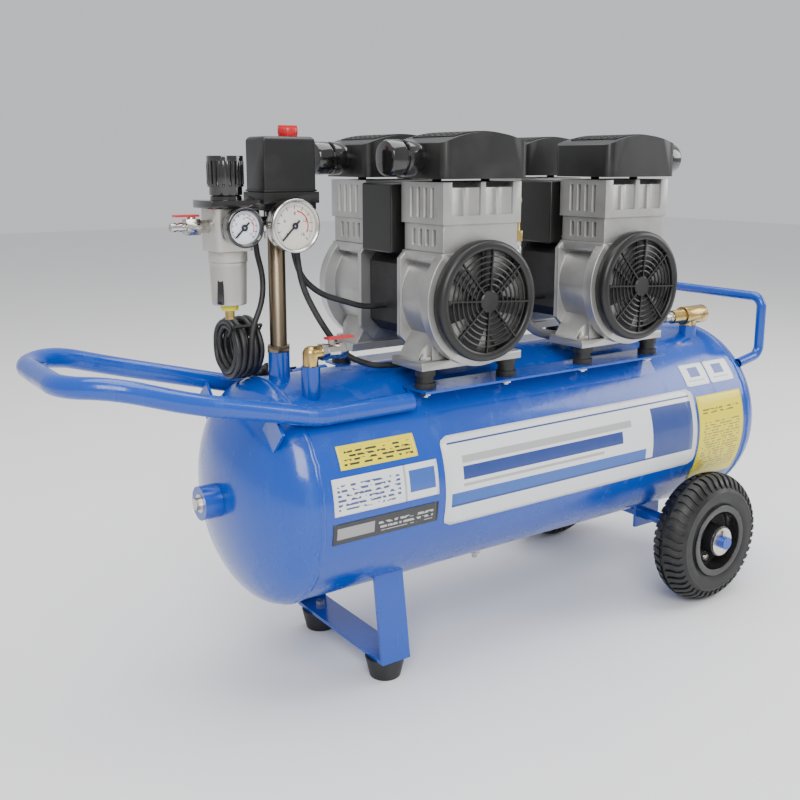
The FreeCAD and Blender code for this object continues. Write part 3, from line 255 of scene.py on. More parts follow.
def piece(name, shape, finish, body, smooth=True):
    """A bmesh becomes a named piece with a finish, and rides on a body."""
    bmesh.ops.recalc_face_normals(shape, faces=shape.faces)
    mesh = bpy.data.meshes.new(name)
    shape.to_mesh(mesh)
    shape.free()
    mesh.materials.append(finish.material)
    made = bpy.data.objects.new(name, mesh)
    bpy.context.scene.collection.objects.link(made)
    if smooth:
        mesh.shade_smooth()
        mesh.set_sharp_from_angle(angle=SHARP_EDGE)
    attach(made, body)
    return made


def turned(outline, centre, axis, steps=64, shape=None):
    """Closed outline of (along, radius) pairs turned about an axis through a centre."""
    shape = shape or bmesh.new()
    turn = Vector(axis).to_track_quat("Z", "Y").to_matrix().to_4x4()
    stand = Matrix.Translation(centre) @ turn
    rings = []
    for along, radius in outline:
        if radius <= 0:
            rings.append([shape.verts.new(stand @ Vector((0, 0, along)))])
            continue
        rings.append([shape.verts.new(stand @ Vector((radius * math.cos(math.tau * k / steps),
                                                      radius * math.sin(math.tau * k / steps), along)))
                      for k in range(steps)])
    for first, second in zip(rings, rings[1:]):
        for k in range(steps):
            corners = [first[k % len(first)], first[(k + 1) % len(first)],
                       second[(k + 1) % len(second)], second[k % len(second)]]
            corners = list(dict.fromkeys(corners))
            if len(corners) > 2:
                shape.faces.new(corners)
    return shape


def swept(shape, rings):
    """Rings of vertices are joined from each to the next, and closed at both ends."""
    for first, second in zip(rings, rings[1:]):
        for k in range(len(first)):
            after = (k + 1) % len(first)
            shape.faces.new([first[k], first[after], second[after], second[k]])
    for ring in (rings[0], rings[-1]):
        shape.faces.new(ring)


def welded(shape):
    """Vertices that meet where an outline closes become one."""
    bmesh.ops.remove_doubles(shape, verts=shape.verts, dist=1e-6)
    return shape


low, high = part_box("tank_barrel")
TANK_R = (high.y - low.y) / 2
TANK_AXIS = Vector((0, 0, (high.z + low.z) / 2))
SEAM_LEFT, SEAM_RIGHT = low.x, high.x
END_DEPTH = SEAM_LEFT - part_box("tank_end_left")[0].x
PLATE = 0.003
LENGTHWISE = (1, 0, 0)
BARREL_STEPS, DISH_STEPS, DISH_RINGS = 160, 128, 24
# outline of a weld run, as places along the tank and heights over its skin
BEAD = [(-0.0045, -0.001), (-0.003, 0.0008), (0, 0.0016), (0.003, 0.0008), (0.0045, -0.001)]
# the left end has a hole behind its threaded boss
POLE_HOLE = {-1: 0.012, 1: 0.0}

barrel = welded(turned([(SEAM_LEFT, TANK_R - PLATE), (SEAM_LEFT, TANK_R), (SEAM_RIGHT, TANK_R),
                        (SEAM_RIGHT, TANK_R - PLATE), (SEAM_LEFT, TANK_R - PLATE)],
                       TANK_AXIS, LENGTHWISE, BARREL_STEPS))
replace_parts(piece("receiver_barrel", barrel, blue, "chassis"), "tank_barrel")
for side, seam, label in ((-1, SEAM_LEFT, "left"), (1, SEAM_RIGHT, "right")):
    outline = []
    for wall, order in ((0.0, range(DISH_RINGS + 1)), (PLATE, reversed(range(DISH_RINGS + 1)))):
        for k in order:
            angle = math.pi / 2 * k / DISH_RINGS
            radius = (TANK_R - wall) * math.cos(angle)
            if radius > POLE_HOLE[side]:
                outline.append((seam + side * (END_DEPTH - wall) * math.sin(angle), radius))
            elif k == DISH_RINGS:
                outline.append((seam + side * (END_DEPTH - wall), POLE_HOLE[side]))
    outline.append(outline[0])
    dish = welded(turned(outline, TANK_AXIS, LENGTHWISE, DISH_STEPS))
    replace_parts(piece(label + "_dished_end", dish, blue, "chassis"), "tank_end_" + label)
    weld = turned([(seam + along, TANK_R + over) for along, over in BEAD],
                  TANK_AXIS, LENGTHWISE, BARREL_STEPS)
    for vert in weld.verts:
        angle = math.atan2(vert.co.z - TANK_AXIS.z, vert.co.y)
        vert.co.x += 0.0006 * math.sin(31 * angle) + 0.0004 * math.sin(57 * angle)
    piece(label + "_seam_weld", weld, blue, "chassis")
dress(blue, "tank_sockets", "pump_deck", "push_handle", "rear_handle", "front_stand", "axle", "axle_brackets")

# ---- Labels ---------------------------------------------------------------------------------------
# Printed vinyl sheets stuck on the tank's front. Each is a thin skin with its own plain print.
LABEL_R = TANK_R + 0.0007
VINYL = 0.0004
LABEL_STEPS = 24


def tank_label(name, x0, x1, top, bottom, finish, corner=0.0):
    """A sheet that wraps the tank between two angles above its front line. Its UV map is in metres."""
    shape = bmesh.new()
    grid = shape.loops.layers.uv.new("print")
    rows = []
    for j in range(LABEL_STEPS + 1):
        angle = math.radians(top + (bottom - top) * j / LABEL_STEPS)
        v = LABEL_R * math.radians(top) - LABEL_R * angle
        height = LABEL_R * math.radians(top - bottom)
        inset = 0.0
        edge = min(v, height - v)
        if edge < corner:
            inset = corner - math.sqrt(max(0.0, corner ** 2 - (corner - edge) ** 2))
        row = []
        for k in range(LABEL_STEPS + 1):
            x = x0 + inset + (x1 - x0 - 2 * inset) * k / LABEL_STEPS
            vert = shape.verts.new((x, -LABEL_R * math.cos(angle), TANK_AXIS.z + LABEL_R * math.sin(angle)))
            row.append((vert, (x - x0, v)))
        rows.append(row)
    for upper, lower in zip(rows, rows[1:]):
        for k in range(LABEL_STEPS):
            ring = [upper[k], upper[k + 1], lower[k + 1], lower[k]]
            face = shape.faces.new([vert for vert, _ in ring])
            for loop, (_, uv) in zip(face.loops, ring):
                loop[grid].uv = uv
    shape.normal_update()
    if sum(face.normal.y for face in shape.faces) > 0:
        bmesh.ops.reverse_faces(shape, faces=shape.faces)
    mesh = bpy.data.meshes.new(name)
    shape.to_mesh(mesh)
    shape.free()
    mesh.materials.append(finish.material)
    mesh.shade_smooth()
    made = bpy.data.objects.new(name, mesh)
    bpy.context.scene.collection.objects.link(made)
    solid = made.modifiers.new("sheet", "SOLIDIFY")
    solid.thickness = VINYL
    solid.offset = -1
    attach(made, "chassis")
    return made


class Print(Finish):
    """A printed sheet: flat inks laid by its own UV map, u along the tank and v down from its top."""

    GRAIN = 140.0

    def __init__(self, name, ground):
        super().__init__(name, "blue_paint")
        uv = self.node("ShaderNodeUVMap", {"uv_map": "print"}, {})
        self.u = self.node("ShaderNodeSeparateXYZ", {}, [uv], 0)
        self.v = self.node("ShaderNodeSeparateXYZ", {}, [uv], 1)
        self.ink = ground
        self.shade(Roughness=0.28 + 0.12 * self.noise(90.0), Coat_Weight=0.3)

    def inside(self, u0, u1, v0, v1):
        """1 within a block between two places along and two down, and 0 outside it."""
        return (self.u > u0) * (self.u < u1) * (self.v > v0) * (self.v < v1)

    def field(self, u0, u1, v0, v1, colour):
        """A block of one ink."""
        self.ink = self.mix(self.inside(u0, u1, v0, v1), self.ink, colour)

    def lines(self, u0, u1, v0, v1, pitch, colour):
        """Rows of small generic dashes, in place of small print."""
        row = (self.v / pitch).sum("FRACT") > 0.5
        dash = self.noise(self.GRAIN, detail=1.0) > 0.47
        self.ink = self.mix(self.inside(u0, u1, v0, v1) * row * dash, self.ink, colour)

    def done(self):
        worn = self.spread(self.noise(45.0), 0.3, 0.8)
        return self.shade(Base_Color=self.mix(worn * 0.05, self.ink, (0.25, 0.25, 0.25)),
                          Normal=self.bump(self.noise(300.0), 0.0001, 0.3))


WHITE, GREY, BLACK = (0.72, 0.73, 0.74), (0.4, 0.4, 0.4), (0.02, 0.02, 0.02)
NAVY, YELLOW = (0.01, 0.04, 0.22), (0.78, 0.66, 0.004)
big = Print("big_label_print", WHITE)
big.field(0.010, 0.487, 0.010, 0.0125, NAVY)
big.field(0.010, 0.487, 0.094, 0.097, NAVY)
big.field(0.010, 0.380, 0.078, 0.094, (0.02, 0.10, 0.40))
big.field(0.395, 0.487, 0.019, 0.094, NAVY)
big.field(0.030, 0.350, 0.030, 0.040, GREY)
big.field(0.030, 0.330, 0.044, 0.062, NAVY)
big.field(0.030, 0.290, 0.067, 0.071, GREY)
tank_label("big_label", -0.113, 0.384, 29, -18, big.done(), corner=0.012)
warning = Print("upper_label_print", YELLOW)
warning.lines(0.006, 0.109, 0.005, 0.026, 0.0052, BLACK)
tank_label("upper_label", -0.265, -0.150, 33.7, 22, warning.done())
data = Print("data_label_print", WHITE)
data.field(0.104, 0.107, 0.0, 0.06, GREY)
data.lines(0.006, 0.098, 0.006, 0.040, 0.0058, (0.05, 0.07, 0.2))
data.field(0.112, 0.152, 0.008, 0.036, (0.03, 0.10, 0.40))
tank_label("data_label", -0.281, -0.124, 18.8, 1.2, data.done())
strip = Print("strip_label_print", BLACK)
strip.field(0.006, 0.060, 0.006, 0.021, (0.30, 0.30, 0.30))
strip.lines(0.066, 0.150, 0.006, 0.022, 0.006, (0.45, 0.45, 0.45))
tank_label("strip_label", -0.283, -0.125, -2.5, -13, strip.done())
for name, x0, x1 in (("left_tag", 0.379, 0.4345), ("right_tag", 0.4375, 0.495)):
    tag = Print(name + "_print", WHITE)
    tag.field(0.016, 0.040, 0.007, 0.024, (0.03, 0.07, 0.3))
    tag.field(0.009, 0.046, 0.029, 0.031, GREY)
    tank_label(name, x0, x1, 44.5, 29.7, tag.done(), corner=0.004)
tall = Print("tall_label_print", YELLOW)
tall.lines(0.010, 0.099, 0.042, 0.128, 0.0046, (0.30, 0.25, 0.03))
tall.lines(0.010, 0.099, 0.020, 0.030, 0.0050, (0.16, 0.14, 0.03))
tank_label("tall_label", 0.390, 0.499, 23.3, -32, tall.done())


# ---- Stand feet and wheels ------------------------------------------------------------------------
# Two moulded rubber feet under the stand. The wheels are rubber tyres with a cross-lug tread on black
# pressed rims, bolted through with zinc screws and held on the axle by washers and pins.
pivot = {joint["name"]: Vector(joint["pos_m"]) for joint in frame["record"]["behaviour"]["joints"]
         if "pos_m" in joint}
zinc = Finish("zinc_plate", "zinc_steel")
passivate = zinc.spread(zinc.noise(70.0), 0.4, 0.7)
zinc.shade(Base_Color=zinc.mix(passivate, (0.62, 0.62, 0.60), (0.52, 0.48, 0.38)), Metallic=1.0,
           Roughness=0.24 + 0.2 * passivate, Normal=zinc.bump(zinc.noise(1200.0), 0.0001, 0.3))
foot_rubber = Finish("moulded_rubber", "black_rubber")
bloom = foot_rubber.spread(foot_rubber.noise(50.0), 0.45, 0.8)
foot_rubber.shade(Base_Color=foot_rubber.mix(bloom, (0.010, 0.010, 0.010), (0.032, 0.031, 0.030)),
                  Roughness=0.5 + 0.25 * bloom,
                  Normal=foot_rubber.bump(foot_rubber.noise(700.0), 0.0002, 0.5))
tread = Finish("tyre_rubber", "tyre_rubber")
road = tread.spread(tread.noise(45.0, detail=6.0), 0.48, 0.72)
tread.shade(Base_Color=tread.mix(road, (0.007, 0.007, 0.007), (0.026, 0.025, 0.024)),
            Roughness=0.42 + 0.3 * road, Normal=tread.bump(tread.noise(600.0), 0.0003, 0.5))
rim_paint = Finish("rim_powder_coat", "black_metal")
peel = rim_paint.noise(420.0)
rim_paint.shade(Base_Color=rim_paint.mix(rim_paint.noise(25.0), (0.006, 0.006, 0.006), (0.016, 0.016, 0.017)),
                Roughness=0.22 + 0.15 * peel, Coat_Weight=0.3, Normal=rim_paint.bump(peel, 0.0003, 0.35))
dress(zinc, "fasteners")


def softened(key, finish, width, body="chassis", name=None):
    """A copy of a carried-over piece with its edges rounded stands in its place."""
    shape = bmesh.new()
    shape.from_mesh(node[key].data)
    bmesh.ops.remove_doubles(shape, verts=shape.verts, dist=1e-5)
    made = piece(name or key + "_finished", shape, finish, body)
    edge = made.modifiers.new("edge", "BEVEL")
    edge.width = width
    edge.segments = 2
    edge.limit_method = "ANGLE"
    edge.angle_limit = math.radians(35)
    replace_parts(made, key)
    return made


def repeated(name, item, count, finish, body, turn=(0, 0, 0), step=(0, 0, 0), centre=(0, 0, 0)):
    """Geometry Nodes lay copies of a small mesh, each turned and moved on from the one before."""
    tree = bpy.data.node_groups.new(name, "GeometryNodeTree")
    sockets = {}
    for key, kind, value in (("Count", "NodeSocketInt", count), ("Turn", "NodeSocketVector", turn),
                             ("Step", "NodeSocketVector", step), ("Centre", "NodeSocketVector", centre)):
        sockets[tree.interface.new_socket(key, in_out="INPUT", socket_type=kind).identifier] = value
    tree.interface.new_socket("Geometry", in_out="OUTPUT", socket_type="NodeSocketGeometry")

    def add(kind, **inputs):
        made = tree.nodes.new(kind)
        for key, value in inputs.items():
            socket = made.inputs[key.replace("_", " ")]
            if isinstance(value, bpy.types.NodeSocket):
                tree.links.new(value, socket)
            else:
                socket.default_value = value
        return made

    given = tree.nodes.new("NodeGroupInput")
    line = add("GeometryNodeMeshLine", Count=given.outputs["Count"], Offset=given.outputs["Step"])
    turned_on = tree.nodes.new("ShaderNodeVectorMath")
    turned_on.operation = "SCALE"
    tree.links.new(given.outputs["Turn"], turned_on.inputs[0])
    tree.links.new(tree.nodes.new("GeometryNodeInputIndex").outputs[0], turned_on.inputs["Scale"])
    source = add("GeometryNodeObjectInfo", Object=item)
    copies = add("GeometryNodeInstanceOnPoints", Points=line.outputs[0], Instance=source.outputs["Geometry"],
                 Rotation=turned_on.outputs[0])
    placed = add("GeometryNodeTransform", Geometry=copies.outputs[0], Translation=given.outputs["Centre"])
    real = add("GeometryNodeRealizeInstances", Geometry=placed.outputs[0])
    coated = add("GeometryNodeSetMaterial", Geometry=real.outputs[0], Material=finish.material)
    tree.links.new(coated.outputs[0], tree.nodes.new("NodeGroupOutput").inputs[0])
    host = bpy.data.objects.new(name + "_host", bpy.data.meshes.new(name + "_host"))
    bpy.context.scene.collection.objects.link(host)
    modifier = host.modifiers.new("repeat", "NODES")
    modifier.node_group = tree
    for identifier, value in sockets.items():
        modifier[identifier] = value
    mesh = bpy.data.meshes.new_from_object(host.evaluated_get(bpy.context.evaluated_depsgraph_get()))
    mesh.name = name
    bpy.data.objects.remove(host)
    bpy.data.objects.remove(item)
    made = bpy.data.objects.new(name, mesh)
    bpy.context.scene.collection.objects.link(made)
    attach(made, body)
    return made


def small(name, shape, finish):
    """One small mesh for repeating, smooth but for its corners."""
    bmesh.ops.recalc_face_normals(shape, faces=shape.faces)
    mesh = bpy.data.meshes.new(name)
    shape.to_mesh(mesh)
    shape.free()
    mesh.materials.append(finish.material)
    mesh.shade_smooth()
    mesh.set_sharp_from_angle(angle=SHARP_EDGE)
    made = bpy.data.objects.new(name, mesh)
    bpy.context.scene.collection.objects.link(made)
    return made


def block(shape, low, high, round_by=0.0):
    """A box between two corners, with its edges rounded."""
    centre = (Vector(low) + Vector(high)) / 2
    size = Vector(high) - Vector(low)
    stand = Matrix.Translation(centre) @ Matrix.Diagonal((*size, 1))
    made = bmesh.ops.create_cube(shape, size=1.0, matrix=stand)
    if round_by:
        edges = list({edge for vert in made["verts"] for edge in vert.link_edges})
        bmesh.ops.bevel(shape, geom=edges, offset=round_by, segments=2, profile=0.5, affect="EDGES")
    return made


softened("stand_feet", foot_rubber, 0.0012)
TYRE_R = 0.1035
TYRE_HALF = 0.032
CARCASS_HALF = TYRE_HALF - 0.0028
TYRE_RING = TYRE_R - TYRE_HALF
LUGS, LUG_RINGS, RIM_SCREWS = 46, 6, 4
AXLEWISE = (0, 1, 0)
for place, body in (("front", "front_wheel"), ("rear", "rear_wheel")):
    hub = pivot[body + "_spin"]
    side = -1 if place == "front" else 1
    outline = []
    for k in range(29):
        angle = math.radians(-118 + 236 * k / 28)
        # a raised line runs round each sidewall
        bulge = CARCASS_HALF + (0.0012 if abs(abs(math.degrees(angle)) - 78) < 5 else 0)
        outline.append((bulge * math.sin(angle), TYRE_RING + bulge * math.cos(angle)))
    outline += [(0.027, 0.0572), (0.0268, 0.0505), (0, 0.0503), (-0.0268, 0.0505), (-0.027, 0.0572),
                outline[0]]
    tyre = welded(turned(outline, hub, AXLEWISE, 96))
    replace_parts(piece(place + "_tyre_carcass", tyre, tread, body), place + "_tyre")
    for label, lean in (("near", 1), ("far", -1)):
        lug = bmesh.new()
        rings = []
        for k in range(LUG_RINGS):
            angle = math.radians(lean * (6 + 11.5 * k))
            width = 0.0047 - 0.0004 * k
            drift = 0.0022 * math.sin(1.2 * k)
            foot, crest = CARCASS_HALF - 0.001, TYRE_HALF - (0.0 if k < LUG_RINGS - 1 else 0.0015)
            rings.append([lug.verts.new((across + drift, radius * math.sin(angle),
                                         TYRE_RING + radius * math.cos(angle)))
                          for across, radius in ((-width, foot), (width, foot),
                                                 (width, crest), (-width, crest))])
        swept(lug, rings)
        start = 0 if lean > 0 else 0.5
        bmesh.ops.rotate(lug, verts=lug.verts, matrix=Matrix.Rotation(start * math.tau / LUGS, 3, "Y"))
        repeated(f"{place}_tread_{label}", small("lug", lug, tread), LUGS, tread, body,
                 turn=(0, math.tau / LUGS, 0), centre=hub)
    softened(place + "_rim", rim_paint, 0.0008, body)
    screw = turned([(0, 0), (0, 0.0062), (0.001, 0.0065), (0.0036, 0.0052), (0.0046, 0)],
                   (0, 0, 0.036), (0, side, 0), 16)
    repeated(place + "_rim_screws", small("screw", screw, zinc), RIM_SCREWS, zinc, body,
             turn=(0, math.tau / RIM_SCREWS, 0), centre=hub + Vector((0, side * 0.003, 0)))

# ---- Pumps ----------------------------------------------------------------------------------------
# Two twin pumps. Crankcases, cylinders and heads are die-cast aluminium, bolted up on either side of
# a black varnished motor stack. They are left as cast, with a fine grain and dull stains.
cast = Finish("die_cast_aluminium", "cast_aluminium")
grain = cast.noise(850.0, detail=2.0)
stain = cast.spread(cast.noise(14.0, detail=4.0), 0.42, 0.7)
cast.shade(Base_Color=cast.mix(stain, (0.47, 0.465, 0.45), (0.34, 0.335, 0.32)), Metallic=0.8,
           Roughness=0.34 + 0.14 * stain + 0.08 * grain,
           Normal=cast.bump(grain + 0.5 * cast.noise(190.0), 0.0004, 0.35))
for name in ("left", "right"):
    for part, width in (("_crankcases", 0.0012), ("_cylinders", 0.0009), ("_heads", 0.0011)):
        softened(name + part, cast, width)
    for end in ("_front_piston", "_rear_piston"):
        dress(cast, name + end)
machined = Finish("turned_steel", "machined_steel")
lathe = machined.noise(300.0, (1, 6, 1))
machined.shade(Base_Color=(0.5, 0.5, 0.5), Metallic=1.0, Roughness=0.22 + 0.2 * lathe,
               Normal=machined.bump(lathe, 0.0001, 0.3))
stack = Finish("varnished_laminations", "motor_steel")
depth = stack.node("ShaderNodeSeparateXYZ", {}, [stack.place], 1)
sheet = (depth * 5200.0).sum("SINE")
stack.shade(Base_Color=stack.mix(stack.noise(30.0), (0.010, 0.010, 0.011), (0.026, 0.025, 0.024)),
            Roughness=0.3 + 0.2 * stack.noise(120.0), Normal=stack.bump(sheet, 0.0004, 0.6))
for name in ("left", "right"):
    dress(stack, name + "_stator")
    dress(machined, name + "_rotor")

# ---- Moulded covers, silencers, fans and guards ---------------------------------------------------
# Black nylon mouldings: a domed cover with a slotted crown on two posts over each head, a glossy
# intake silencer pushed into its end, and a fan behind a ringed guard that snaps on the crankcase.
moulded = Finish("moulded_black", "black_plastic")
fine = moulded.noise(1100.0, detail=1.0)
scuff = moulded.spread(moulded.noise(18.0, detail=5.0), 0.5, 0.75)
moulded.shade(Base_Color=moulded.mix(scuff, (0.007, 0.007, 0.0065), (0.015, 0.0145, 0.013)),
              Roughness=0.36 + 0.14 * scuff, Normal=moulded.bump(fine, 0.0002, 0.4))
polished = Finish("polished_black", "gloss_black")
smear = polished.spread(polished.noise(24.0, detail=4.0), 0.45, 0.8)
polished.shade(Base_Color=polished.mix(smear, (0.006, 0.006, 0.006), (0.014, 0.013, 0.012)),
               Roughness=0.1 + 0.14 * smear, Coat_Weight=0.6)
CROWN_RISE = 0.014
VENT_HALF, VENT_NEAR, VENT_FAR, VENT_STEPS = 0.046, 0.046, 0.134, 16
VENT_RIBS, VENT_BARS = 13, 8
SILENCER_LONG, SILENCER_Y, SILENCER_Z = 0.052, 0.090, 0.6935
silencers_low, silencers_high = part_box("silencers")


def arched(shape, centre, reach, arc, y0, y1, under, over):
    """A bar bent to a crown's arc, between two places across it and two heights about the arc."""
    rings = []
    for k in range(VENT_STEPS + 1):
        lean = reach / arc * (k - VENT_STEPS / 2) / (VENT_STEPS / 2)
        rings.append([shape.verts.new(Vector(centre) + Vector((r * math.sin(lean), y, r * math.cos(lean))))
                      for r, y in ((arc + over, y0), (arc + over, y1), (arc - under, y1), (arc - under, y0))])
    swept(shape, rings)


intake = bmesh.new()
for name, out in (("left", -1), ("right", 1)):
    softened(name + "_covers", moulded, 0.0016)
    shaft = pivot[name + "_motor_spin"]
    dress(moulded, name + "_fans")
    cover_low, cover_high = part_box(name + "_covers")
    half = (cover_high.x - cover_low.x) / 2
    arc = (half ** 2 + CROWN_RISE ** 2) / (2 * CROWN_RISE)
    middle = cover_high.z - arc
    for side, place in ((-1, "front"), (1, "rear")):
        near, far = side * VENT_NEAR, side * VENT_FAR
        centre = Vector((shaft.x, 0, middle))
        bed = bmesh.new()
        arched(bed, centre, VENT_HALF, arc, near, far, 0.001, 0.0002)
        piece(f"{name}_{place}_vent_bed", bed, polished, "chassis", smooth=False)
        rib = bmesh.new()
        block(rib, (-0.0013, min(near, far), arc - 0.001), (0.0013, max(near, far), arc + 0.0016), 0.0004)
        bmesh.ops.rotate(rib, verts=rib.verts, matrix=Matrix.Rotation(-VENT_HALF / arc, 3, "Y"))
        repeated(f"{name}_{place}_vent_ribs", small("rib", rib, moulded), VENT_RIBS, moulded, "chassis",
                 turn=(0, 2 * VENT_HALF / arc / (VENT_RIBS - 1), 0), centre=centre)
        bar = bmesh.new()
        arched(bar, (0, 0, 0), VENT_HALF + 0.001, arc, -0.0012, 0.0012, 0.001, 0.0015)
        repeated(f"{name}_{place}_vent_bars", small("bar", bar, moulded), VENT_BARS, moulded, "chassis",
                 step=(0, (far - near) / (VENT_BARS - 1), 0), centre=centre + Vector((0, near, 0)))
        silencer_x = silencers_low.x + SILENCER_LONG if out < 0 else silencers_high.x - SILENCER_LONG
        turned([(0, 0), (0, 0.018), (0.0075, 0.018), (0.0085, 0.0215), (0.011, 0.023), (0.0245, 0.023),
                (0.026, 0.0215), (0.026, 0.0195), (0.030, 0.0195), (0.030, 0.0215), (0.0315, 0.023),
                (0.047, 0.023), (0.0508, 0.0212), (SILENCER_LONG, 0.018), (SILENCER_LONG, 0)],
               (silencer_x, side * SILENCER_Y, SILENCER_Z), (out, 0, 0), 56, intake)
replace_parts(piece("intake_silencers", intake, polished, "chassis"), "silencers")

GUARD_RINGS, GUARD_HUB_R, GUARD_PITCH, GUARD_SPOKES = 6, 0.0150, 0.0073, 8
for name in ("left", "right"):
    shaft = pivot[name + "_motor_spin"]
    guard = bmesh.new()
    for side in (-1, 1):
        hub = Vector((shaft.x, 0, shaft.z))
        turned([(0.1363, 0.0785), (0.1470, 0.0792), (0.1510, 0.0782), (0.1535, 0.0752), (0.1540, 0.0712),
                (0.1532, 0.0678), (0.1512, 0.0660), (0.1485, 0.0658), (0.1475, 0.0680), (0.1420, 0.0735),
                (0.1363, 0.0750), (0.1363, 0.0785)], hub, (0, side, 0), 96, guard)
        turned([(0.1485, 0), (0.1485, 0.0138), (0.1500, 0.0150), (0.1524, 0.0146), (0.1538, 0.0128),
                (0.1534, 0.0060), (0.1534, 0)], hub, (0, side, 0), 40, guard)
        for step in range(GUARD_RINGS):
            radius = GUARD_HUB_R + (step + 1) * GUARD_PITCH
            turned([(0.1503, radius - 0.0007), (0.1503, radius + 0.0007), (0.1524, radius + 0.0011),
                    (0.1530, radius), (0.1524, radius - 0.0011), (0.1503, radius - 0.0007)],
                   hub, (0, side, 0), 72, guard)
        for step in range(GUARD_SPOKES):
            low, high = sorted((side * 0.1500, side * 0.1536))
            spoke = block(guard, (0.0130, low, -0.0011), (0.0672, high, 0.0011))
            turn = Matrix.Translation(hub) @ Matrix.Rotation(math.tau * (step + 0.08) / GUARD_SPOKES, 4, "Y")
            bmesh.ops.transform(guard, verts=spoke["verts"], matrix=turn)
    welded(guard)
    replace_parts(piece(name + "_ringed_guards", guard, moulded, "chassis"), name + "_fan_guards")

# ---- Motor boxes ----------------------------------------------------------------------------------
# A black moulded box on each motor holds its capacitor. A zinc screw closes it at the front, and a
# yellow tag is stuck on a bare plate beside it.
softened("motor_boxes", moulded, 0.0025)
tag = Finish("plain_yellow_tag", "silver_paint")
tag.shade(Base_Color=tag.mix(tag.noise(60.0), (0.70, 0.50, 0.02), (0.78, 0.60, 0.05)), Roughness=0.35)
TAG_PLACE = Vector((0.016, -0.022, 0.0571))
for name in ("left", "right"):
    shaft = pivot[name + "_motor_spin"]
    spot = Matrix.Translation(Vector((shaft.x, 0, shaft.z)) + TAG_PLACE)
    screw = turned([(0, 0), (0, 0.0042), (0.0012, 0.0042), (0.0026, 0.0030), (0.0030, 0)],
                   (shaft.x - 0.0475, -0.036, shaft.z + 0.066), (0, -1, 0), 20)
    piece(name + "_box_screw", screw, zinc, "chassis")
    plate = bmesh.new()
    block(plate, (-0.022, -0.013, 0), (0.022, 0.013, 0.0006), 0.0002)
    bmesh.ops.transform(plate, verts=plate.verts, matrix=spot)
    piece(name + "_tag_plate", plate, machined, "chassis")
    label = bmesh.new()
    for shift in (-0.0105, 0.0105):
        block(label, (shift - 0.0085, -0.008, 0.0006), (shift + 0.0085, 0.008, 0.0009))
    bmesh.ops.transform(label, verts=label.verts, matrix=spot)
    piece(name + "_yellow_tag", label, tag, "chassis")
dress(foot_rubber, "rubber_mounts")

# ---- Stand pipe, manifold and pressure switch -----------------------------------------------------
# A steel pipe with an old bronze tint screws into the tank's socket and carries a nickel-plated
# manifold. The pressure switch on it is a black moulded base and hood with a red knob.
aged = Finish("aged_pipe", "machined_steel")
streak = aged.noise(26.0, (1, 1, 0.12), 4.0)
aged.shade(Base_Color=aged.mix(aged.spread(streak, 0.4, 0.62), (0.30, 0.24, 0.16), (0.15, 0.12, 0.085)),
           Metallic=1.0, Roughness=0.2 + 0.25 * streak, Normal=aged.bump(streak, 0.0002, 0.4))
nickel = Finish("nickel_plate", "chrome")
cloudy = nickel.spread(nickel.noise(80.0, detail=4.0), 0.45, 0.7)
nickel.shade(Base_Color=nickel.mix(cloudy, (0.60, 0.58, 0.54), (0.42, 0.39, 0.34)), Metallic=1.0,
             Roughness=0.14 + 0.2 * cloudy, Normal=nickel.bump(nickel.noise(500.0), 0.0001, 0.3))
brass = Finish("turned_brass", "brass")
tarnish = brass.spread(brass.noise(60.0, detail=4.0), 0.4, 0.72)
brass.shade(Base_Color=brass.mix(tarnish, (0.66, 0.47, 0.17), (0.40, 0.28, 0.11)), Metallic=1.0,
            Roughness=0.18 + 0.25 * tarnish, Normal=brass.bump(brass.noise(500.0), 0.0001, 0.3))
red = Finish("red_moulding", "red_plastic")
red.shade(Base_Color=red.mix(red.noise(90.0), (0.50, 0.006, 0.010), (0.62, 0.012, 0.018)),
          Roughness=0.3 + 0.12 * red.noise(300.0), Coat_Weight=0.2,
          Normal=red.bump(red.noise(800.0), 0.0001, 0.3))
softened("stand_pipe", aged, 0.0005)
softened("manifold", nickel, 0.0004)
softened("valve_bodies", nickel, 0.0004)
softened("brass_fittings", brass, 0.0004)
softened("bowl_drain", brass, 0.0004, "bowl_drain")
softened("outlet_lever", red, 0.0006, "outlet_lever")
softened("tank_lever", red, 0.0006, "tank_lever")
softened("switch_body", moulded, 0.0012)
softened("switch_cover", moulded, 0.0014)
softened("switch_knob", red, 0.0008, "switch_knob")
SWITCH_GRIPS = 20
knob_at = pivot["switch_knob_turn"]
grip_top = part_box("switch_knob")[1].z - 0.002
grip = bmesh.new()
block(grip, (0.0112, -0.0010, grip_top - 0.009), (0.0126, 0.0010, grip_top - 0.001), 0.0003)
repeated("switch_knob_grips", small("grip", grip, red), SWITCH_GRIPS, red, "switch_knob",
         turn=(0, 0, math.tau / SWITCH_GRIPS), centre=(knob_at.x, knob_at.y, 0))
SEAM_OVERHANG = 0.0012
seam_low, seam_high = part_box("switch_cover")
lip = bmesh.new()
block(lip, (seam_low.x - SEAM_OVERHANG, seam_low.y - SEAM_OVERHANG, seam_low.z + 0.0004),
      (seam_high.x + SEAM_OVERHANG, seam_high.y + SEAM_OVERHANG, seam_low.z + 0.0030), 0.0008)
piece("switch_seam_lip", lip, moulded, "chassis")

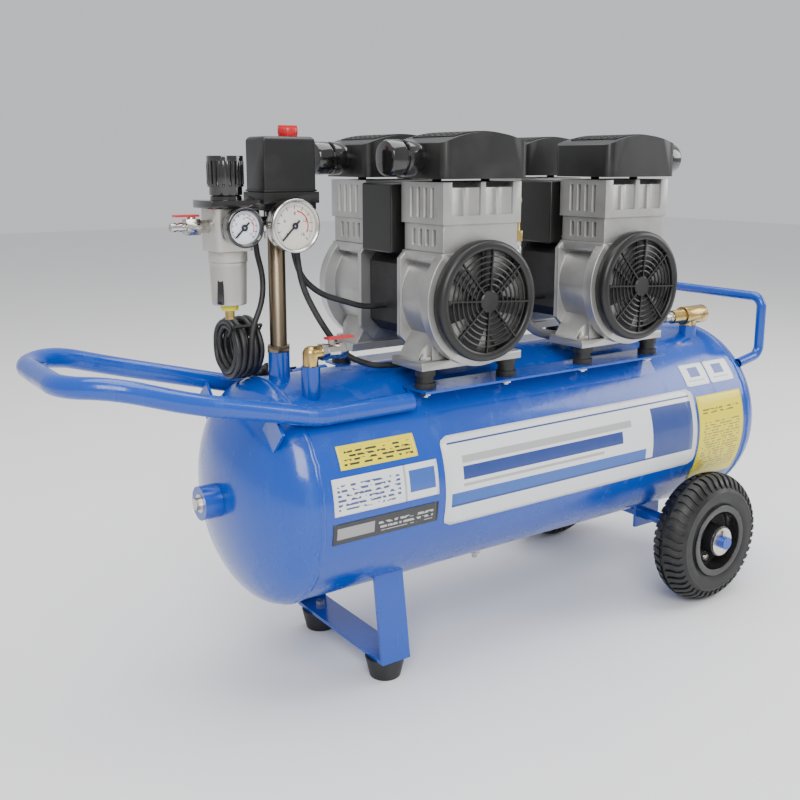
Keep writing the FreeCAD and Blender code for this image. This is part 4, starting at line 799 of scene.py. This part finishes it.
# ---- Gauges ---------------------------------------------------------------------------------------
# Two dry pressure gauges: one in a polished steel case with a cream dial on the manifold, and a
# smaller one in a black case with a white dial on the regulator. Ticks and numbers are printed.
dial_face = Finish("cream_dial", "silver_paint")
dial_face.shade(Base_Color=dial_face.mix(dial_face.noise(30.0), (0.60, 0.58, 0.52), (0.66, 0.64, 0.58)),
                Roughness=0.4, Coat_Weight=0.4)
white_face = Finish("white_dial", "silver_paint")
white_face.shade(Base_Color=white_face.mix(white_face.noise(30.0), (0.68, 0.71, 0.76), (0.74, 0.77, 0.82)),
                 Roughness=0.4, Coat_Weight=0.4)
steel_case = Finish("polished_case", "machined_steel")
polish = steel_case.noise(160.0, (1, 5, 1))
steel_case.shade(Base_Color=(0.60, 0.58, 0.54), Metallic=1.0, Roughness=0.12 + 0.16 * polish,
                 Normal=steel_case.bump(polish, 0.0001, 0.25))
dial_ink = Finish("dial_ink", "black_metal")
dial_ink.shade(Base_Color=dial_ink.mix(dial_ink.noise(200.0), (0.010, 0.012, 0.03), (0.02, 0.022, 0.04)),
               Roughness=0.5)
red_ink = Finish("dial_red_ink", "red_plastic")
red_ink.shade(Base_Color=red_ink.mix(red_ink.noise(200.0), (0.55, 0.03, 0.02), (0.62, 0.05, 0.03)),
              Roughness=0.5)
needle_enamel = Finish("needle_enamel", "black_metal")
needle_enamel.shade(Base_Color=needle_enamel.mix(needle_enamel.noise(300.0), (0.008, 0.010, 0.02),
                                                 (0.016, 0.018, 0.03)), Roughness=0.32)
dress(needle_enamel, "tank_needle", "air_needle")
TOWARDS_FRONT = (0, -1, 0)
DIAL_DEPTH, DIAL_INSET = 0.0056, 0.0043
SCALE_START, SCALE_SWEEP = math.radians(-135), math.radians(270)
FIGURES, ARC_STEPS = 4, 20
for label, joint, radius, face, case, paper_face, top_number in (
        ("tank_gauge", "tank_needle_turn", 0.033, 0.056, steel_case, dial_face, 16),
        ("air_gauge", "air_needle_turn", 0.024, 0.054, polished, white_face, 12)):
    at = pivot[joint]
    centre = Vector((at.x, 0, at.z))
    shell = turned([(face - 0.026, 0), (face - 0.026, radius - 0.005), (face - 0.0215, radius - 0.005),
                    (face - 0.0205, radius - 0.0014), (face - 0.008, radius - 0.001), (face - 0.0065, radius),
                    (face - 0.0012, radius), (face - 0.0002, radius - 0.0010), (face, radius - 0.0024),
                    (face - 0.0010, radius - 0.0036), (face - DIAL_DEPTH, radius - 0.0042),
                    (face - DIAL_DEPTH, 0)], centre, TOWARDS_FRONT, 96)
    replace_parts(piece(label + "_case", shell, case, "chassis"), "gauge_cases")
    dial = radius - DIAL_INSET
    disc = turned([(face - DIAL_DEPTH, 0), (face - DIAL_DEPTH, dial), (face - DIAL_DEPTH + 0.0003, dial),
                   (face - DIAL_DEPTH + 0.0003, 0)], centre, TOWARDS_FRONT, 72)
    piece(label + "_dial", disc, paper_face, "chassis")
    plane = -(face - DIAL_DEPTH + 0.0004)
    for name, count, inner, outer, thick in (("minor", 51, 0.80, 0.88, 0.00022),
                                             ("major", 11, 0.72, 0.88, 0.00045)):
        tick = bmesh.new()
        block(tick, (-thick, plane - 0.0001, inner * dial), (thick, plane + 0.0002, outer * dial))
        bmesh.ops.rotate(tick, verts=tick.verts, matrix=Matrix.Rotation(SCALE_START, 3, "Y"))
        repeated(f"{label}_{name}_ticks", small("tick", tick, dial_ink), count, dial_ink, "chassis",
                 turn=(0, SCALE_SWEEP / (count - 1), 0), centre=centre)
    limit = bmesh.new()
    rings = []
    for k in range(ARC_STEPS + 1):
        angle = math.radians(10 + 108 * k / ARC_STEPS)
        rings.append([limit.verts.new((centre.x + r * dial * math.sin(angle), y,
                                       centre.z + r * dial * math.cos(angle)))
                      for r, y in ((0.67, plane), (0.67, plane - 0.0001),
                                   (0.61, plane - 0.0001), (0.61, plane))])
    swept(limit, rings)
    piece(label + "_red_arc", limit, red_ink, "chassis", smooth=False)
    figures = bmesh.new()
    for k in range(FIGURES + 1):
        angle = SCALE_START + SCALE_SWEEP * k / FIGURES
        text = bpy.data.curves.new("figure", "FONT")
        text.body = str(top_number * k // FIGURES)
        text.size = 0.17 * radius
        text.align_x = "CENTER"
        text.align_y = "CENTER"
        text.extrude = 0.00008
        writer = bpy.data.objects.new("figure", text)
        mesh = bpy.data.meshes.new_from_object(writer)
        reach = 0.46 * radius
        spot = (centre.x + reach * math.sin(angle), plane - 0.00005, centre.z + reach * math.cos(angle))
        mesh.transform(Matrix.Translation(spot) @ Matrix.Rotation(math.pi / 2, 4, "X"))
        figures.from_mesh(mesh)
        bpy.data.objects.remove(writer)
        bpy.data.meshes.remove(mesh)
    piece(label + "_figures", figures, dial_ink, "chassis", smooth=False)

# ---- Filter regulator -----------------------------------------------------------------------------
# Silver enamelled body with a polished black knob on a black flange, and a bowl with a sight slot.
# A yellow collar holds the brass drain under the bowl.
silver = Finish("silver_enamel", "silver_paint")
fleck = silver.noise(700.0)
silver.shade(Base_Color=silver.mix(silver.noise(18.0), (0.40, 0.385, 0.35), (0.47, 0.455, 0.42)),
             Metallic=0.6, Roughness=0.26 + 0.12 * fleck, Coat_Weight=0.3,
             Normal=silver.bump(fleck, 0.0002, 0.3))
softened("regulator_body", silver, 0.0014)
softened("filter_bowl", silver, 0.0010)
body_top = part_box("regulator_body")[1].z
reg = pivot["regulator_knob_turn"]
UPRIGHT = (0, 0, 1)
flange = bmesh.new()
block(flange, (reg.x - 0.0316, -0.0286, body_top - 0.0156),
      (reg.x + 0.0316, 0.0286, body_top - 0.0054), 0.0016)
turned([(body_top - 0.006, 0.007), (body_top - 0.006, 0.0195), (body_top - 0.001, 0.0190), (body_top, 0.0170),
        (body_top, 0.007), (body_top - 0.006, 0.007)], (reg.x, 0, 0), UPRIGHT, 48, flange)
piece("regulator_flange", welded(flange), polished, "chassis")
softened("regulator_knob", polished, 0.0008, "regulator_knob")
KNOB_RIBS = 24
knob_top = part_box("regulator_knob")[1].z
rib = bmesh.new()
block(rib, (0.0212, -0.0016, knob_top - 0.034), (0.0226, 0.0016, knob_top - 0.006), 0.0005)
repeated("regulator_knob_ribs", small("rib", rib, polished), KNOB_RIBS, polished, "regulator_knob",
         turn=(0, 0, math.tau / KNOB_RIBS), centre=(reg.x, reg.y, 0))
SIGHT_TURN, BOWL_TAPER = math.radians(-52), math.radians(-5.5)
sight = bmesh.new()
bowl_low, bowl_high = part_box("filter_bowl")
mid = (bowl_low.z + bowl_high.z) / 2
block(sight, (-0.0042, -0.0030, -0.026), (0.0042, 0.0010, 0.024), 0.0012)
tilt = (Matrix.Translation((reg.x, 0, mid - 0.002)) @ Matrix.Rotation(SIGHT_TURN, 4, "Z") @
        Matrix.Translation((0, -0.0196, 0)) @ Matrix.Rotation(BOWL_TAPER, 4, "X"))
bmesh.ops.transform(sight, verts=sight.verts, matrix=tilt)
piece("sight_slot", sight, polished, "chassis")
yolk = Finish("yellow_collar", "silver_paint")
yolk.shade(Base_Color=yolk.mix(yolk.noise(150.0), (0.68, 0.60, 0.01), (0.76, 0.70, 0.03)),
           Roughness=0.3 + 0.1 * yolk.noise(400.0))
collar = turned([(0.0002, 0.0034), (0.0002, 0.0100), (0.0020, 0.0112), (0.0062, 0.0112), (0.0078, 0.0100),
                 (0.0078, 0.0034), (0.0002, 0.0034)], (reg.x, 0, bowl_low.z), UPRIGHT, 40)
piece("drain_collar", welded(collar), yolk, "chassis")

# ---- Leads and hose -------------------------------------------------------------------------------
# Black rubber motor leads and a flexible delivery hose in a woven stainless braid, crimped at each
# end into a steel ferrule. The plug is moulded on the mains cord.
dress(rubber, "motor_leads", "mains_plug")
braid = Finish("woven_braid", "braid")
weave_uv = braid.node("ShaderNodeUVMap", {"uv_map": "weave"}, {})
around = braid.node("ShaderNodeSeparateXYZ", {}, [weave_uv], 0)
along = braid.node("ShaderNodeSeparateXYZ", {}, [weave_uv], 1)
cross = ((around * 0.9 + along) * 2100.0).sum("SINE") * ((around * 0.9 + along * -1) * 2100.0).sum("SINE")
# painted shade: the braid's colour is painted dark in the low cells of the weave, as shade between the raised
# strands, and stays bright on the raised cells; the low cells are also rougher
weave_painted_shade = braid.spread(cross, -0.6, 0.8)
braid.shade(Base_Color=braid.mix(weave_painted_shade, (0.10, 0.10, 0.10), (0.58, 0.57, 0.55)), Metallic=0.9,
            Roughness=0.42 - 0.14 * weave_painted_shade, Normal=braid.bump(cross, 0.0008, 0.8))
hose_route = [(0.041, -0.100, 0.583), (0.041, -0.100, 0.547), (0.049, -0.095, 0.511), (0.070, -0.082, 0.479),
              (0.103, -0.063, 0.453), (0.145, -0.042, 0.436), (0.195, -0.030, 0.426), (0.255, -0.025, 0.424),
              (0.309, -0.026, 0.425), (0.351, -0.033, 0.426), (0.378, -0.045, 0.432), (0.401, -0.052, 0.437),
              (0.425, -0.052, 0.437)]
guide = soft_line("hose_guide", hose_route, 0.0, braid)
guide.data.bevel_depth = 0
guide.data.resolution_u = 16
traced = bpy.data.meshes.new_from_object(guide)
line = [vert.co.copy() for vert in traced.vertices]
bpy.data.objects.remove(guide)


HOSE_R = 0.007
SLEEVE_STEPS = 28


def sleeve(name, line, radius, finish):
    """A round tube along a line, with a UV map in metres round and along it."""
    shape = bmesh.new()
    grid = shape.loops.layers.uv.new("weave")
    side = (line[1] - line[0]).orthogonal().normalized()
    rows, run = [], 0.0
    for index, point in enumerate(line):
        ahead = (line[min(index + 1, len(line) - 1)] - line[max(index - 1, 0)]).normalized()
        side = (side - ahead * side.dot(ahead)).normalized()
        other = ahead.cross(side)
        run += (point - line[index - 1]).length if index else 0.0
        rows.append(([shape.verts.new(point + radius * (side * math.cos(math.tau * k / SLEEVE_STEPS) +
                                                        other * math.sin(math.tau * k / SLEEVE_STEPS)))
                      for k in range(SLEEVE_STEPS)], run))
    step = math.tau * radius / SLEEVE_STEPS
    for (first, v0), (second, v1) in zip(rows, rows[1:]):
        for k in range(SLEEVE_STEPS):
            after = (k + 1) % SLEEVE_STEPS
            face = shape.faces.new([first[k], first[after], second[after], second[k]])
            corners = (k * step, v0), ((k + 1) * step, v0), ((k + 1) * step, v1), (k * step, v1)
            for loop, uv in zip(face.loops, corners):
                loop[grid].uv = uv
    for row, _ in (rows[0], rows[-1]):
        shape.faces.new(row)
    return piece(name, shape, finish, "chassis")


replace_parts(sleeve("delivery_hose", line, HOSE_R, braid), "braided_hose")
for name, start, heading in (("hose_ferrule_upper", Vector(hose_route[0]), Vector((0, 0, -1))),
                             ("hose_ferrule_lower", Vector(hose_route[-1]), Vector((-1, 0, 0)))):
    ferrule = turned([(0, 0.0072), (0, 0.0084), (0.004, 0.0084), (0.005, 0.0079), (0.007, 0.0079),
                      (0.008, 0.0084), (0.017, 0.0084), (0.018, 0.0072), (0, 0.0072)], start, heading, 36)
    piece(name, welded(ferrule), machined, "chassis")
# a flat strap is buckled round the coil's turns, at one angle round the coil
TIE_ANGLE, TIE_HALF_T, TIE_HALF_W = 2.3, 0.0006, 0.0018
tie = bmesh.new()
spot = COIL_CENTRE + (OUTER + INNER) / 2 * Vector((0, math.cos(TIE_ANGLE), math.sin(TIE_ANGLE)))
strap = [(-0.0212, -0.0094), (0.0212, -0.0094), (0.0212, 0.0094), (-0.0212, 0.0094)]
for (x0, r0), (x1, r1) in zip(strap, strap[1:] + strap[:1]):
    block(tie, (min(x0, x1) - TIE_HALF_T, -TIE_HALF_W, min(r0, r1) - TIE_HALF_T),
          (max(x0, x1) + TIE_HALF_T, TIE_HALF_W, max(r0, r1) + TIE_HALF_T))
bmesh.ops.transform(tie, verts=tie.verts,
                    matrix=Matrix.Translation(spot) @ Matrix.Rotation(TIE_ANGLE - math.pi / 2, 4, "X"))
piece("coil_tie", tie, foot_rubber, "chassis")
